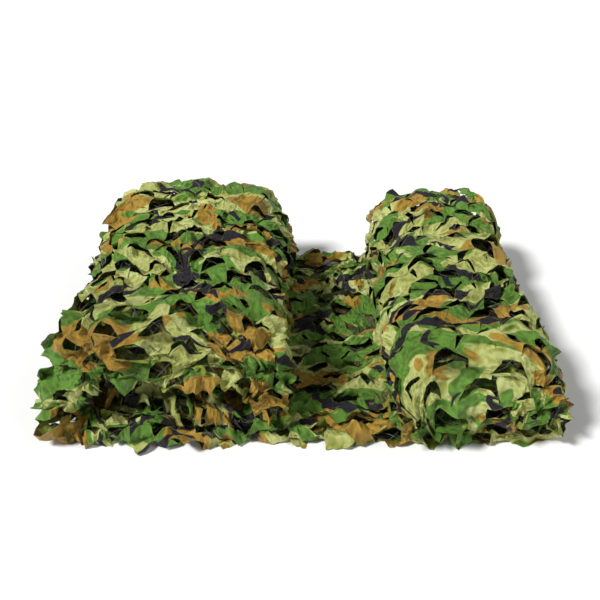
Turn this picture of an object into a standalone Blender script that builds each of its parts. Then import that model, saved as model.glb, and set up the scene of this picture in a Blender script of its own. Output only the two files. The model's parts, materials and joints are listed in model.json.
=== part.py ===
"""Camouflage net, put away: a leaf-cut printed cloth, folded in three along its width and wound from
both ends into two flattened rolls, with a flat stretch of the folded cloth left between them.

The cloth is one piece, so the part is one solid: a strip of the folded plies that winds inwards at its
left and right ends. +X runs along the strip, +Y is the way the rolls' ends point to the back, +Z is up.
The origin lies on the surface that the net rests on, under the middle of the bundle. Sizes are in metres.
"""

import math
import random

import bmesh
import bpy
from mathutils import Vector

# Driving dimensions
BUNDLE_DEPTH = 0.635  # front fold to back fold, along the rolls' axes
STRIP_THICK = 0.024  # three plies of leaf-cut cloth, loosely folded
TURN_PITCH = 0.0306  # one turn to the next: the strip and the air over it
LEAF_LIFT = 0.014  # how far the raised leaf tips stand off the cloth
LEAF_DROOP = 0.012  # and how far they hang towards the front
LEAF_TIP_OUT = 0.020  # how far the leaves at the front and back folds reach past them
FOLD_PUFF = 0.014  # how much the plies of the flat stretch swell at its front and back folds
FOLD_PUFF_DEPTH = 0.080  # and how far in from the fold
OUTER_STEP = 0.034  # spacing of section points on the turn that shows
INNER_STEP = 0.050  # and on the turns inside
FLOOR_STEP = 0.040  # and on the flat stretch
SHORTEST_STEP = 0.008  # no two points are closer than this
SHARPEST_BEND = math.radians(24)  # a point is added wherever the strip has turned this far
TIGHTEST_CORNER = 0.019  # inside bends are no tighter than this, at the middle of the strip
HEART_TURNS = 0.50  # how much of a roll, at its inner end, is pressed thin or folded over
RESTING_SHARE = 0.15  # how much of a roll's first turn lies flat on the floor
FOLD_TRIM = 0.35  # the strip's thickness at its folded edges, as a share
END_TRIM = 0.55  # and at its two inner ends
TROUGH = (0.005, 0.118)  # the part of the flat stretch that lies open, between these places on X
SEED = 11

# The two rolls: which way each winds, where its wall towards the flat stretch stands, how wide and high
# it is over the cloth, how round its lower and upper corners are as shares of half its height, how many
# turns it has, and how thick the strip is at its inner end, as a share: the plies are pressed thin at the
# tight heart of the left roll, and folded over once more to start the right one.
ROLLS = {
    "left": {
        "side": -1, "inner_wall": -0.026, "width": 0.406, "height": 0.214,
        "low_round": 0.52, "top_round": 0.94, "turns": 3.02, "heart": 0.62,
    },
    "right": {
        "side": 1, "inner_wall": 0.146, "width": 0.286, "height": 0.196,
        "low_round": 0.52, "top_round": 0.98, "turns": 2.68, "heart": 1.30,
    },
}

# How the bundle changes from front to back: at each place along the depth, as a share of it, the height
# and width of each roll as shares of the sizes above, and how far both lean over the flat stretch.
# The dips are creases pressed round the rolls.
PROFILE = [
    {"at": 0.00, "left_high": 0.92, "left_wide": 1.0, "right_high": 0.97, "right_wide": 1.01, "lean": -0.002},
    {"at": 0.12, "left_high": 0.98, "left_wide": 0.98, "right_high": 0.98, "right_wide": 0.99, "lean": 0.0},
    {"at": 0.25, "left_high": 1.01, "left_wide": 0.96, "right_high": 1.00, "right_wide": 0.97, "lean": 0.000},
    {"at": 0.36, "left_high": 0.97, "left_wide": 0.94, "right_high": 1.01, "right_wide": 0.97, "lean": 0.000},
    {"at": 0.48, "left_high": 1.00, "left_wide": 0.95, "right_high": 1.01, "right_wide": 0.97, "lean": 0.001},
    {"at": 0.60, "left_high": 1.01, "left_wide": 0.96, "right_high": 1.00, "right_wide": 0.98, "lean": 0.002},
    {"at": 0.69, "left_high": 1.01, "left_wide": 0.97, "right_high": 0.96, "right_wide": 0.98, "lean": 0.003},
    {"at": 0.80, "left_high": 1.02, "left_wide": 0.98, "right_high": 1.02, "right_wide": 0.99, "lean": 0.004},
    {"at": 1.00, "left_high": 1.01, "left_wide": 0.98, "right_high": 1.00, "right_wide": 0.99, "lean": 0.004},
]

# The folded edges at the front and back are rounded: how far in from the fold each row of points is,
# and how thick the strip is there, as a share of its thickness.
FOLD_ROUNDING = [(0.0, FOLD_TRIM), (0.006, 0.80), (0.016, 1.0)]
MIDDLE_ROWS = [0.10, 0.19, 0.28, 0.37, 0.46, 0.55, 0.64, 0.73, 0.82, 0.91]

# The turns don't end flush: how far each part of a roll stands back from the fold of the flat stretch.
TELESCOPE = {
    "left": {"front_top": 0.080, "front_inside": 0.030, "back_top": 0.004, "back_inside": 0.014},
    "right": {"front_top": 0.014, "front_inside": 0.020, "back_top": 0.006, "back_inside": 0.012},
}

# Low swellings that all the turns of a roll share: how many round it, how many along it, how strong.
LUMPS = [
    {"around": 3, "along": 1.4, "size": 0.022, "start": 0.0},
    {"around": 5, "along": -2.2, "size": 0.018, "start": 1.3},
]

CLOTH_GREEN = (0.10, 0.22, 0.06, 1.0)


def ease(share):
    """From 0 to 1 with a soft start and a soft end."""
    share = min(1.0, max(0.0, share))
    return share * share * (3 - 2 * share)


def profile_at(share, column):
    """A column of PROFILE at this share of the depth, between the rows before and after it."""
    for before, after in zip(PROFILE, PROFILE[1:]):
        if share <= after["at"]:
            along = (share - before["at"]) / (after["at"] - before["at"])
            return before[column] + (after[column] - before[column]) * ease(along)
    return PROFILE[-1][column]


def rounded_box(share, half_width, half_height, low_radius, top_radius):
    """A point (across, up) on an outline with round corners, this share of the way round it from the
    middle of its lower side. It runs by the +across side first."""
    low_flat = half_width - low_radius
    side_flat = 2 * half_height - low_radius - top_radius
    top_flat = half_width - top_radius
    half_way = low_flat + side_flat + top_flat + math.pi / 2 * (low_radius + top_radius)
    mirrored = share > 0.5
    left = 2 * half_way * (1 - share if mirrored else share)
    if left <= low_flat:
        point = (left, -half_height)
    elif left - low_flat <= math.pi / 2 * low_radius:
        angle = (left - low_flat) / low_radius
        drop = half_height - low_radius + low_radius * math.cos(angle)
        point = (low_flat + low_radius * math.sin(angle), -drop)
    elif left - low_flat - math.pi / 2 * low_radius <= side_flat:
        climbed = left - low_flat - math.pi / 2 * low_radius
        point = (half_width, low_radius - half_height + climbed)
    else:
        over = left - low_flat - math.pi / 2 * low_radius - side_flat
        angle = min(over / top_radius, math.pi / 2)
        beyond = max(0.0, over - math.pi / 2 * top_radius)
        across = top_flat + top_radius * math.cos(angle) - beyond
        point = (across, half_height - top_radius + top_radius * math.sin(angle))
    return (-point[0], point[1]) if mirrored else point


def drawn_in(turn):
    """How far a roll's outline has shrunk after this many turns. Its underside stays flat at first."""
    if turn <= RESTING_SHARE:
        return 0.0
    if turn < 1.0:
        return TURN_PITCH * (turn - RESTING_SHARE) / (1 - RESTING_SHARE)
    return TURN_PITCH * turn


def outline(name):
    """Half the width, half the height and the centre of a roll's outermost outline, at the middle of the
    strip. It is a little larger than the roll, because the strip has drawn in by the time it is round."""
    roll = ROLLS[name]
    half_width = (roll["width"] - STRIP_THICK + drawn_in(0.25) + drawn_in(0.75)) / 2
    half_height = (roll["height"] - STRIP_THICK + drawn_in(0.5)) / 2
    to_wall = STRIP_THICK / 2 + half_width - drawn_in(0.75)
    return half_width, half_height, roll["inner_wall"] + roll["side"] * to_wall


def roll_point(name, turn, share=None):
    """A point (x, z) on the middle of the strip, this many turns in from under the roll's centre.
    Without a share of the depth it is on the roll's plain outline."""
    roll = ROLLS[name]
    full_width, full_height, centre = outline(name)
    shrink = drawn_in(turn)
    half_height = full_height - shrink
    radii = [
        min(half_height, max(TIGHTEST_CORNER, full_height * roll[corner] - shrink))
        for corner in ("low_round", "top_round")
    ]
    across, up = rounded_box(turn % 1.0, full_width - shrink, half_height, *radii)
    if share is None:
        return centre + roll["side"] * across, STRIP_THICK / 2 + full_height + up
    lifted = ease((up + full_height) / full_height)
    swell = 1 + lifted * sum(
        lump["size"] * math.sin(2 * math.pi * (lump["around"] * turn + lump["along"] * share) + lump["start"])
        for lump in LUMPS
    )
    x = centre + roll["side"] * across * swell
    x = roll["inner_wall"] + (x - roll["inner_wall"]) * profile_at(share, name + "_wide")
    x -= roll["side"] * profile_at(share, "lean") * lifted
    high = 1 + (profile_at(share, name + "_high") - 1) * lifted
    return x, STRIP_THICK / 2 + (full_height + up * swell) * high


def turn_values(name):
    """Values of turn for a roll, from the floor inwards: even steps, and closer ones round the bends."""
    fine_steps = 1500
    last_turn = ROLLS[name]["turns"]
    found, travelled, bent = [0.0], 0.0, 0.0
    here, heading = Vector(roll_point(name, 0.0)), None
    for i in range(1, fine_steps + 1):
        turn = last_turn * i / fine_steps
        there = Vector(roll_point(name, turn))
        run = there - here
        travelled += run.length
        if heading is not None:
            bent += abs(heading.angle_signed(run, 0.0))
        here, heading = there, run
        step = OUTER_STEP if turn < 1.0 else INNER_STEP
        if travelled >= step or (bent >= SHARPEST_BEND and travelled >= SHORTEST_STEP):
            found.append(turn)
            travelled, bent = 0.0, 0.0
    if travelled < INNER_STEP / 3:
        found.pop()
    return found + [last_turn]


def flat_place(along):
    """X on the flat stretch, this share of the way from under the left roll's centre to the right's."""
    start, end = outline("left")[2], outline("right")[2]
    return start + (end - start) * along


def section_samples():
    """The strip's path from the left roll's inner end to the right roll's, as (where, value) samples.
    On a roll the value is the turn; on the flat stretch it is the share of the way from left to right."""
    left = [("left", turn) for turn in reversed(turn_values("left"))]
    right = [("right", turn) for turn in turn_values("right")]
    pieces = round((flat_place(1.0) - flat_place(0.0)) / FLOOR_STEP)
    flat = [("flat", i / pieces) for i in range(1, pieces)]
    return left + flat + right


def sample_point(sample, share):
    where, value = sample
    if where == "flat":
        return flat_place(value), STRIP_THICK / 2
    return roll_point(where, value, share)


def recess(sample, height, end):
    """How far this part of the strip's edge stands back from the front or back fold."""
    where, value = sample
    if where == "flat":
        return 0.0
    table = TELESCOPE[where]
    rise = ease((height - STRIP_THICK) / (ROLLS[where]["height"] - 2 * STRIP_THICK))
    outside_share = 1.0 if value < 1.0 else 0.65
    inside = ease((value - 0.75) / 0.5)
    wander = 0.006 * math.sin(7.3 * value) * min(1.0, value)
    return table[end + "_top"] * rise * outside_share + table[end + "_inside"] * inside + wander


def station_rows():
    """Each row of points along the depth: its share of the depth, its distance in from the front or
    from the back fold where it is near one, and the strip's thickness there as a share."""
    rows = [{"share": 0.0, "from_front": inset, "thick": thick} for inset, thick in FOLD_ROUNDING]
    rows += [{"share": share, "thick": 1.0} for share in MIDDLE_ROWS]
    rows += [{"share": 1.0, "from_back": inset, "thick": thick} for inset, thick in reversed(FOLD_ROUNDING)]
    return rows


def in_trough(sample):
    """Whether this part of the flat stretch lies open between the rolls."""
    where, value = sample
    return where == "flat" and TROUGH[0] < flat_place(value) < TROUGH[1]


def shows(sample):
    """Whether this part of the strip's outer face is on the outside of a roll, clear of the floor."""
    where, value = sample
    return where != "flat" and 0.07 < value < 0.83


def puff(sample, fold_distance):
    """How much the flat stretch's upper face stands up at its front and back folds."""
    return FOLD_PUFF * (1 - ease(fold_distance / FOLD_PUFF_DEPTH)) if in_trough(sample) else 0.0


def heart_share(sample):
    """The strip's thickness as a share, which changes towards the inner end of each roll."""
    where, value = sample
    if where == "flat":
        return 1.0
    to_end = (ROLLS[where]["turns"] - value) / HEART_TURNS
    return 1 + (ROLLS[where]["heart"] - 1) * ease(2 * (1 - to_end))


def ring(samples, row):
    """One section of the strip: its upper face from left to right, and its lower face the same way."""
    line = [Vector(sample_point(sample, row["share"])) for sample in samples]
    upper, lower = [], []
    for i, (sample, here) in enumerate(zip(samples, line)):
        run_in = here - line[i - 1] if i else line[1] - here
        run_out = line[i + 1] - here if i < len(line) - 1 else run_in
        along = (run_in.normalized() + run_out.normalized()).normalized()
        normal = Vector((-along.y, along.x))
        at_end = i in (0, len(line) - 1)
        half = STRIP_THICK / 2 * row["thick"] * heart_share(sample) * (END_TRIM if at_end else 1.0)
        front = -BUNDLE_DEPTH / 2 + recess(sample, here.y, "front")
        back = BUNDLE_DEPTH / 2 - recess(sample, here.y, "back")
        depth = front + (back - front) * row["share"]
        depth += row.get("from_front", 0.0) - row.get("from_back", 0.0)
        stand = puff(sample, min(depth - front, back - depth)) * row["thick"]
        over, under = here + normal * (half + stand), here - normal * half
        upper.append(Vector((over.x, depth, over.y)))
        lower.append(Vector((under.x, depth, max(0.0, under.y))))
    return upper, lower


def raise_leaf(mesh, face, push):
    """Turns a face into a raised leaf: a point at its middle, pushed out."""
    tip = bmesh.ops.poke(mesh, faces=[face])["verts"][0]
    tip.co += push
    tip.co.z = max(tip.co.z, STRIP_THICK / 6)


def build_net():
    """The whole net as one closed solid."""
    chance = random.Random(SEED)
    samples = section_samples()
    mesh = bmesh.new()
    rows = station_rows()
    uppers, lowers = [], []
    for row in rows:
        upper, lower = ring(samples, row)
        uppers.append([mesh.verts.new(point) for point in upper])
        lowers.append([mesh.verts.new(point) for point in lower])
    leaves, tips = [], []
    last_row, last = len(rows) - 1, len(samples) - 1
    for j in range(last_row):
        for i in range(last):
            up = mesh.faces.new((uppers[j][i], uppers[j][i + 1], uppers[j + 1][i + 1], uppers[j + 1][i]))
            down = mesh.faces.new((lowers[j][i], lowers[j + 1][i], lowers[j + 1][i + 1], lowers[j][i + 1]))
            inner_row = 2 <= j < last_row - 2
            if inner_row and shows(samples[i]) and shows(samples[i + 1]):
                leaves.append(down)
            if inner_row and in_trough(samples[i]) and in_trough(samples[i + 1]):
                leaves.append(up)
        mesh.faces.new((uppers[j][0], uppers[j + 1][0], lowers[j + 1][0], lowers[j][0]))
        mesh.faces.new((uppers[j][last], lowers[j][last], lowers[j + 1][last], uppers[j + 1][last]))
    for i in range(last):
        front = mesh.faces.new((lowers[0][i], lowers[0][i + 1], uppers[0][i + 1], uppers[0][i]))
        back = mesh.faces.new((uppers[-1][i], uppers[-1][i + 1], lowers[-1][i + 1], lowers[-1][i]))
        tips += [(front, -1), (back, 1)]
    mesh.normal_update()
    for face in leaves:
        out = face.normal * LEAF_LIFT * chance.uniform(0.35, 1.0)
        droop = Vector((0, -LEAF_DROOP * chance.uniform(-0.2, 1.0), 0))
        raise_leaf(mesh, face, out + droop)
    for face, way in tips:
        raise_leaf(mesh, face, Vector((0, way * LEAF_TIP_OUT * chance.uniform(0.2, 1.0), 0)))
    return mesh


def cloth_material():
    material = bpy.data.materials.new("leaf_cut_cloth")
    material.use_nodes = True
    shader = material.node_tree.nodes["Principled BSDF"]
    shader.inputs["Base Color"].default_value = CLOTH_GREEN
    shader.inputs["Roughness"].default_value = 0.7
    shader.inputs["Metallic"].default_value = 0.0
    material.diffuse_color = CLOTH_GREEN
    return material


def main():
    for old in list(bpy.data.objects):
        bpy.data.objects.remove(old)
    mesh = build_net()
    data = bpy.data.meshes.new("camouflage_net")
    mesh.to_mesh(data)
    mesh.free()
    data.materials.append(cloth_material())
    net = bpy.data.objects.new("camouflage_net", data)
    bpy.context.scene.collection.objects.link(net)


main()
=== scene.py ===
# %% [markdown]
# # A leaf-cut camouflage net, folded and rolled
#
# The real thing is one sheet of thin printed cloth, 2 m wide and 5 m long, with a mesh of thin cord behind
# it. Rows of curved cuts turn the cloth into hanging leaves. To put it away, somebody folded it in three
# along its width and rolled it from both ends, so that two flattened rolls lie on a flat stretch.
#
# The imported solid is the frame: it says where the bundle lies and how big it is. This lesson dresses it.
# It first works out where every point of the flat cloth ends up in the bundle, then cuts the cloth into
# leaves, and last gives it its print. All lengths are in metres.

# %% Load the frame
import json
import math
import random
from functools import reduce

import bmesh
import bpy
import numpy as np
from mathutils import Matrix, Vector, geometry, noise

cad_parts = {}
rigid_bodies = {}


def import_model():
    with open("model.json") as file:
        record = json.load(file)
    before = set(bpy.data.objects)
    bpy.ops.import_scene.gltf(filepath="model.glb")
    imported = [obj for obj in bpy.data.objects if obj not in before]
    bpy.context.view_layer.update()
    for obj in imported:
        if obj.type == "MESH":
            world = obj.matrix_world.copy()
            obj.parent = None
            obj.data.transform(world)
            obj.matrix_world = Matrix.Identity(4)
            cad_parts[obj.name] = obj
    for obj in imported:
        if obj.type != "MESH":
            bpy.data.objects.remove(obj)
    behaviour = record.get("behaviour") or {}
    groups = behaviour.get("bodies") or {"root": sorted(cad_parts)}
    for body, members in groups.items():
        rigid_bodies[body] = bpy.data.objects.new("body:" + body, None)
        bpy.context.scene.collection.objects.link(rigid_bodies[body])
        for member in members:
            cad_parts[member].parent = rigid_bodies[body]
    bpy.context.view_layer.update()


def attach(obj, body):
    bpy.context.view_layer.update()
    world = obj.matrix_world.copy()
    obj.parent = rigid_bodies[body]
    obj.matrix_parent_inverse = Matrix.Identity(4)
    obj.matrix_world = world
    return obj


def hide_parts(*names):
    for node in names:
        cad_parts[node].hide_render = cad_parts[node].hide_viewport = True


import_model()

NODE = "camouflage_net"
BODY = "root"

# %% [markdown]
# ## The camera
#
# The picture looks down on the bundle by about a third of a right angle, from a step away. A camera needs
# only a place, a tilt and a lens here, because it looks straight along the rolls.

# %% Camera
CAMERA_PLACE = (-0.003, -1.409, 0.975)
LOOKS_DOWN = math.radians(32)
LENS = 50.9  # mm on a sensor of 36 mm


def make_camera():
    lens = bpy.data.cameras.new("camera")
    lens.lens = LENS
    camera = bpy.data.objects.new("camera", lens)
    camera.location = CAMERA_PLACE
    camera.rotation_euler = (math.pi / 2 - LOOKS_DOWN, 0, 0)
    bpy.context.scene.collection.objects.link(camera)
    bpy.context.scene.camera = camera


make_camera()
print("camera looks down by", round(math.degrees(LOOKS_DOWN)), "degrees")

# %% [markdown]
# ## The path of the folded strip
#
# Folded in three, the net is a strip about 24 mm thick. Its section, seen from the front, is one line: from
# the middle of the left roll outwards, along the floor, and into the middle of the right roll. Each roll is
# a flattened spiral, so its line is a walk round a box with round corners that shrinks as it turns.
#
# A spiral like this could be drawn by hand as a curve. A formula is better here, because the cloth, the
# cords and the solid behind them all have to follow the same line.

# %% Sizes of the bundle
BUNDLE_DEPTH = 0.635  # front fold to back fold
STRIP_THICK = 0.024
TURN_PITCH = 0.0306  # one turn to the next
TIGHTEST_CORNER = 0.019
RESTING_SHARE = 0.15  # of a roll's first turn lies flat on the floor
HEART_TURNS = 0.50  # of a roll, at its inner end, are pressed thin or folded over
FOLD_PUFF = 0.018  # how much the upper plies swell at the folds of the flat stretch
FOLD_PUFF_DEPTH = 0.080
TROUGH = (0.005, 0.118)  # the open part of the flat stretch, on X
QUARTER = math.pi / 2

ROLLS = {
    "left": {
        "side": -1, "inner_wall": -0.026, "width": 0.406, "height": 0.214,
        "low_round": 0.52, "top_round": 0.94, "turns": 3.02, "heart": 0.62,
    },
    "right": {
        "side": 1, "inner_wall": 0.146, "width": 0.286, "height": 0.196,
        "low_round": 0.52, "top_round": 0.98, "turns": 2.68, "heart": 1.30,
    },
}
# From front to back, how high and wide each roll is as a share of its size, how far it leans, and how much
# lower its two shoulders are.
PROFILE = {
    "at": [0.00, 0.12, 0.25, 0.36, 0.48, 0.60, 0.69, 0.80, 1.00],
    "left_high": [0.92, 0.98, 1.01, 0.97, 1.00, 1.01, 1.01, 1.02, 1.01],
    "left_wide": [1.04, 1.00, 0.96, 0.94, 0.95, 0.96, 0.97, 0.98, 0.98],
    "right_high": [0.97, 0.98, 1.00, 1.01, 1.01, 1.00, 0.96, 1.02, 1.00],
    "right_wide": [1.04, 1.00, 0.97, 0.97, 0.97, 0.98, 0.98, 0.99, 0.99],
    "left_lean": [-0.002, 0.0, 0.0, 0.0, 0.001, 0.002, 0.003, 0.004, 0.004],
    "right_lean": [-0.002, 0.0, 0.0, 0.002, 0.005, 0.006, 0.004, 0.0, -0.003],
    "left_inner_droop": [0.0, 0.0, 0.0, 0.0, 0.02, 0.05, 0.10, 0.19, 0.31],
    "left_outer_droop": [0.0, 0.0, 0.0, 0.0, 0.0, 0.02, 0.05, 0.09, 0.12],
    "right_inner_droop": [0.0, 0.0, 0.0, 0.0, 0.02, 0.05, 0.08, 0.13, 0.20],
    "right_outer_droop": [0.0, 0.0, 0.0, 0.0, 0.0, 0.0, 0.01, 0.02, 0.02],
}
LUMPS = [
    {"around": 3, "along": 1.4, "size": 0.022, "start": 0.0},
    {"around": 5, "along": -2.2, "size": 0.018, "start": 1.3},
]
FOOT = {"left": 0.0, "right": 0.010}  # how far a roll's foot spreads at the front
FOOT_DEPTH = 0.22  # as a share of the depth
# The turns don't end flush: how far each part of a roll stands back from the fold of the flat stretch.
TELESCOPE = {
    "left": {"front_top": 0.080, "front_inside": 0.030, "back_top": 0.004, "back_inside": 0.014},
    "right": {"front_top": 0.014, "front_inside": 0.020, "back_top": 0.006, "back_inside": 0.012},
}


# %% The walk round a roll
def ease(share):
    """From 0 to 1 with a soft start and a soft end."""
    share = np.clip(share, 0.0, 1.0)
    return share * share * (3 - 2 * share)


def profile_at(share, column):
    """A row of PROFILE at this share of the depth, with soft steps between its places."""
    places, values = np.array(PROFILE["at"]), np.array(PROFILE[column])
    after = np.clip(np.searchsorted(places, share), 1, len(places) - 1)
    along = (share - places[after - 1]) / (places[after] - places[after - 1])
    return values[after - 1] + (values[after] - values[after - 1]) * ease(along)


def drawn_in(turn):
    """How far a roll's outline has shrunk after this many turns."""
    first = TURN_PITCH * np.clip((turn - RESTING_SHARE) / (1 - RESTING_SHARE), 0, None)
    return np.where(turn < 1.0, first, TURN_PITCH * turn)


def rounded_box(share, half_width, half_height, low_radius, top_radius):
    """Points (across, up) this share of the way round a box with round corners, from under its middle."""
    low_flat, top_flat = half_width - low_radius, half_width - top_radius
    side_flat = 2 * half_height - low_radius - top_radius
    low_arc, top_arc = QUARTER * low_radius, QUARTER * top_radius
    half_way = low_flat + low_arc + side_flat + top_arc + top_flat
    walked = 2 * half_way * np.minimum(share, 1 - share)
    low_angle = np.clip((walked - low_flat) / low_radius, 0, QUARTER)
    climbed = np.clip(walked - low_flat - low_arc, 0, side_flat)
    top_angle = np.clip((walked - low_flat - low_arc - side_flat) / top_radius, 0, QUARTER)
    beyond = np.maximum(0, walked - half_way + top_flat)
    across = np.minimum(walked, low_flat) + low_radius * np.sin(low_angle)
    across = across - top_radius * (1 - np.cos(top_angle)) - beyond
    up = climbed - half_height + low_radius * (1 - np.cos(low_angle)) + top_radius * np.sin(top_angle)
    return np.where(share > 0.5, -across, across), up


def outline(name):
    """Half the width, half the height and the centre of a roll's outermost outline."""
    roll = ROLLS[name]
    half_width = (roll["width"] - STRIP_THICK + drawn_in(0.25) + drawn_in(0.75)) / 2
    half_height = (roll["height"] - STRIP_THICK + drawn_in(0.5)) / 2
    to_wall = STRIP_THICK / 2 + half_width - drawn_in(0.75)
    return half_width, half_height, roll["inner_wall"] + roll["side"] * to_wall


def roll_line(name, turn, share=None):
    """The strip's middle, x and z, at these turns of a roll. Without a share of the depth the line is the
    roll's plain outline."""
    roll = ROLLS[name]
    full_width, full_height, centre = outline(name)
    shrink = drawn_in(turn)
    half_height = full_height - shrink
    radii = [
        np.minimum(half_height, np.maximum(TIGHTEST_CORNER, full_height * roll[corner] - shrink))
        for corner in ("low_round", "top_round")
    ]
    across, up = rounded_box(turn % 1.0, full_width - shrink, half_height, *radii)
    if share is None:
        return centre + roll["side"] * across, STRIP_THICK / 2 + full_height + up
    lifted = ease((up + full_height) / full_height)
    waves = [
        lump["size"] * np.sin(2 * math.pi * (lump["around"] * turn + lump["along"] * share) + lump["start"])
        for lump in LUMPS
    ]
    swell = 1 + lifted * sum(waves)
    x = centre + roll["side"] * across * swell
    x = roll["inner_wall"] + (x - roll["inner_wall"]) * profile_at(share, name + "_wide")
    x = x - roll["side"] * profile_at(share, name + "_lean") * lifted
    spread = FOOT[name] * (1 - ease(share / FOOT_DEPTH)) * (1 - lifted)
    x = x + roll["side"] * spread * ease(across / full_width)
    inner, outer = profile_at(share, name + "_inner_droop"), profile_at(share, name + "_outer_droop")
    droop = np.where(across < 0, inner, outer) * (across / full_width) ** 2
    high = 1 + (profile_at(share, name + "_high") - 1 - droop) * lifted
    return x, STRIP_THICK / 2 + (full_height + up * swell) * high


print("middles of the rolls on X:", [round(float(outline(name)[2]), 3) for name in ROLLS])

# %% Even steps along the path
NET_LENGTH = 5.0
NET_WIDTH = 2.0
COLUMNS = 421  # of the guide surface, along the path
FINE_STEPS = 3000


def run_lengths(x, z):
    """How far along a line each of its points is."""
    return np.concatenate([[0.0], np.cumsum(np.hypot(np.diff(x), np.diff(z)))])


def even_columns():
    """For each column: on which side it is (-1 left roll, 0 flat stretch, 1 right roll) and its turn on a
    roll, or its share of the way along the flat stretch. Also the lengths of the three parts."""
    left_turns = np.linspace(ROLLS["left"]["turns"], 0.0, FINE_STEPS)
    right_turns = np.linspace(0.0, ROLLS["right"]["turns"], FINE_STEPS)
    left_run = run_lengths(*roll_line("left", left_turns))
    right_run = run_lengths(*roll_line("right", right_turns))
    flat_run = outline("right")[2] - outline("left")[2]
    lengths = [float(left_run[-1]), float(flat_run), float(right_run[-1])]
    along = np.linspace(0, sum(lengths), COLUMNS)
    on_flat, on_right = along - lengths[0], along - lengths[0] - lengths[1]
    side = np.where(on_flat < 0, -1, np.where(on_right < 0, 0, 1))
    value = np.where(
        side < 0,
        np.interp(along, left_run, left_turns),
        np.where(side == 0, on_flat / flat_run, np.interp(on_right, right_run, right_turns)),
    )
    return side, value, lengths


SIDE, VALUE, PART_LENGTHS = even_columns()
PATH_LENGTH = sum(PART_LENGTHS)
print("path of the strip:", round(PATH_LENGTH, 3), "m, for a net of", NET_LENGTH, "m")

# %% [markdown]
# ## The middle of the strip
#
# The outer turn of each roll is a little longer than the turns inside it. At the front it drapes over
# their ends, almost to the floor on the right roll and half way on the left one, which is what hides the
# spiral in the picture. So the strip runs along the roll, bends round the roll's front edge and hangs
# towards a short line low down inside the roll's outline.
#
# This is worked out as one surface, the middle of the strip, from the front hem to the back fold. Its sharp
# bend is softened by averaging each point with its neighbours a few times.

# %% The middle of the strip
MIDDLE_ROWS = 100
SOFTENINGS = 14
DRAPES = {  # where the hanging ends point to, and how much of the way they hang
    "left": {"low": 0.050, "half_long": 0.11, "cover": 0.62, "forward": 0.010},
    "right": {"low": 0.035, "half_long": 0.06, "cover": 0.93, "forward": 0.006},
}
DRAPE_WANDER = 0.10  # how uneven the hanging hem is, as a share of its length
TUCKED = 0.034  # how far the turns inside stand back behind the drape
OUTSIDE_ENDS, OUTSIDE_FADE = 0.93, 0.12  # the turn at which the outside of a roll goes under, and how soon
INNER_RISE = 0.65  # how much of the outside's step back at the top the turns inside have
EDGE_WANDER, EDGE_WANDER_RATE = 0.006, 7.3  # how far the turns' edges wander, and how often on a turn
INSIDE_FROM, INSIDE_WITHIN = 0.75, 0.5  # the turn at which the inside begins to step back, and how soon
HANGS_FROM, HANGS_FULL_AFTER = 0.03, 0.09  # cloth that lies higher than this hangs over the front end
HEM_NOISE = (6, 8.1)  # how fast the hem's noise changes on a metre, and which layer of it is read


def section_line(share):
    """x and z of the strip's middle at every column, each at its own share of the depth."""
    x, z = np.empty(COLUMNS), np.full(COLUMNS, STRIP_THICK / 2)
    for name, roll in ROLLS.items():
        on = SIDE == roll["side"]
        x[on], z[on] = roll_line(name, VALUE[on], share[on])
    flat = SIDE == 0
    start, end = [roll_line(name, np.zeros(flat.sum()), share[flat])[0] for name in ("left", "right")]
    x[flat] = start + (end - start) * VALUE[flat]
    return x, z


def inside_share(turn):
    """0 on a roll's outside turn and 1 on the turns inside it."""
    return ease((turn - OUTSIDE_ENDS) / OUTSIDE_FADE)


def recess(height, end):
    """How far each column's edge stands back from the front or back fold."""
    back = np.zeros(COLUMNS)
    for name, roll in ROLLS.items():
        on = SIDE == roll["side"]
        turn, table = VALUE[on], TELESCOPE[name]
        rise = ease((height[on] - STRIP_THICK) / (roll["height"] - 2 * STRIP_THICK))
        back[on] = table[end + "_top"] * rise * np.where(turn < 1.0, 1.0, INNER_RISE)
        back[on] += table[end + "_inside"] * ease((turn - INSIDE_FROM) / INSIDE_WITHIN)
        back[on] += EDGE_WANDER * np.sin(EDGE_WANDER_RATE * turn) * np.minimum(1.0, turn)
    return back


def soft_noise(a, b, c):
    return noise.noise(Vector((a, b, c)))


def wander_along(u, rate, layer, depth=0):
    """Soft noise at each place along the net, about from -1 to 1."""
    return np.array([soft_noise(rate * along, layer, depth) for along in u])


def hanging_ends(x, front, z, u):
    """How far the strip hangs over the front end at each column, and in which direction."""
    length, way = np.zeros(COLUMNS), np.zeros((COLUMNS, 3))
    for name, roll in ROLLS.items():
        drape, centre = DRAPES[name], outline(name)[2]
        on = SIDE == roll["side"]
        target_x = np.clip(x[on], centre - drape["half_long"], centre + drape["half_long"])
        target_y = np.full(on.sum(), -BUNDLE_DEPTH / 2 - drape["forward"])
        run = np.stack([target_x, target_y, np.full(on.sum(), drape["low"])], axis=1)
        run -= np.stack([x[on], front[on], z[on]], axis=1)
        full = np.linalg.norm(run, axis=1)
        outside = 1 - inside_share(VALUE[on])
        uneven = 1 + DRAPE_WANDER * wander_along(u[on], *HEM_NOISE)
        hangs = ease((z[on] - HANGS_FROM) / HANGS_FULL_AFTER)
        length[on] = drape["cover"] * full * uneven * outside * hangs
        way[on] = run / full[:, None]
    return length, way


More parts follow.
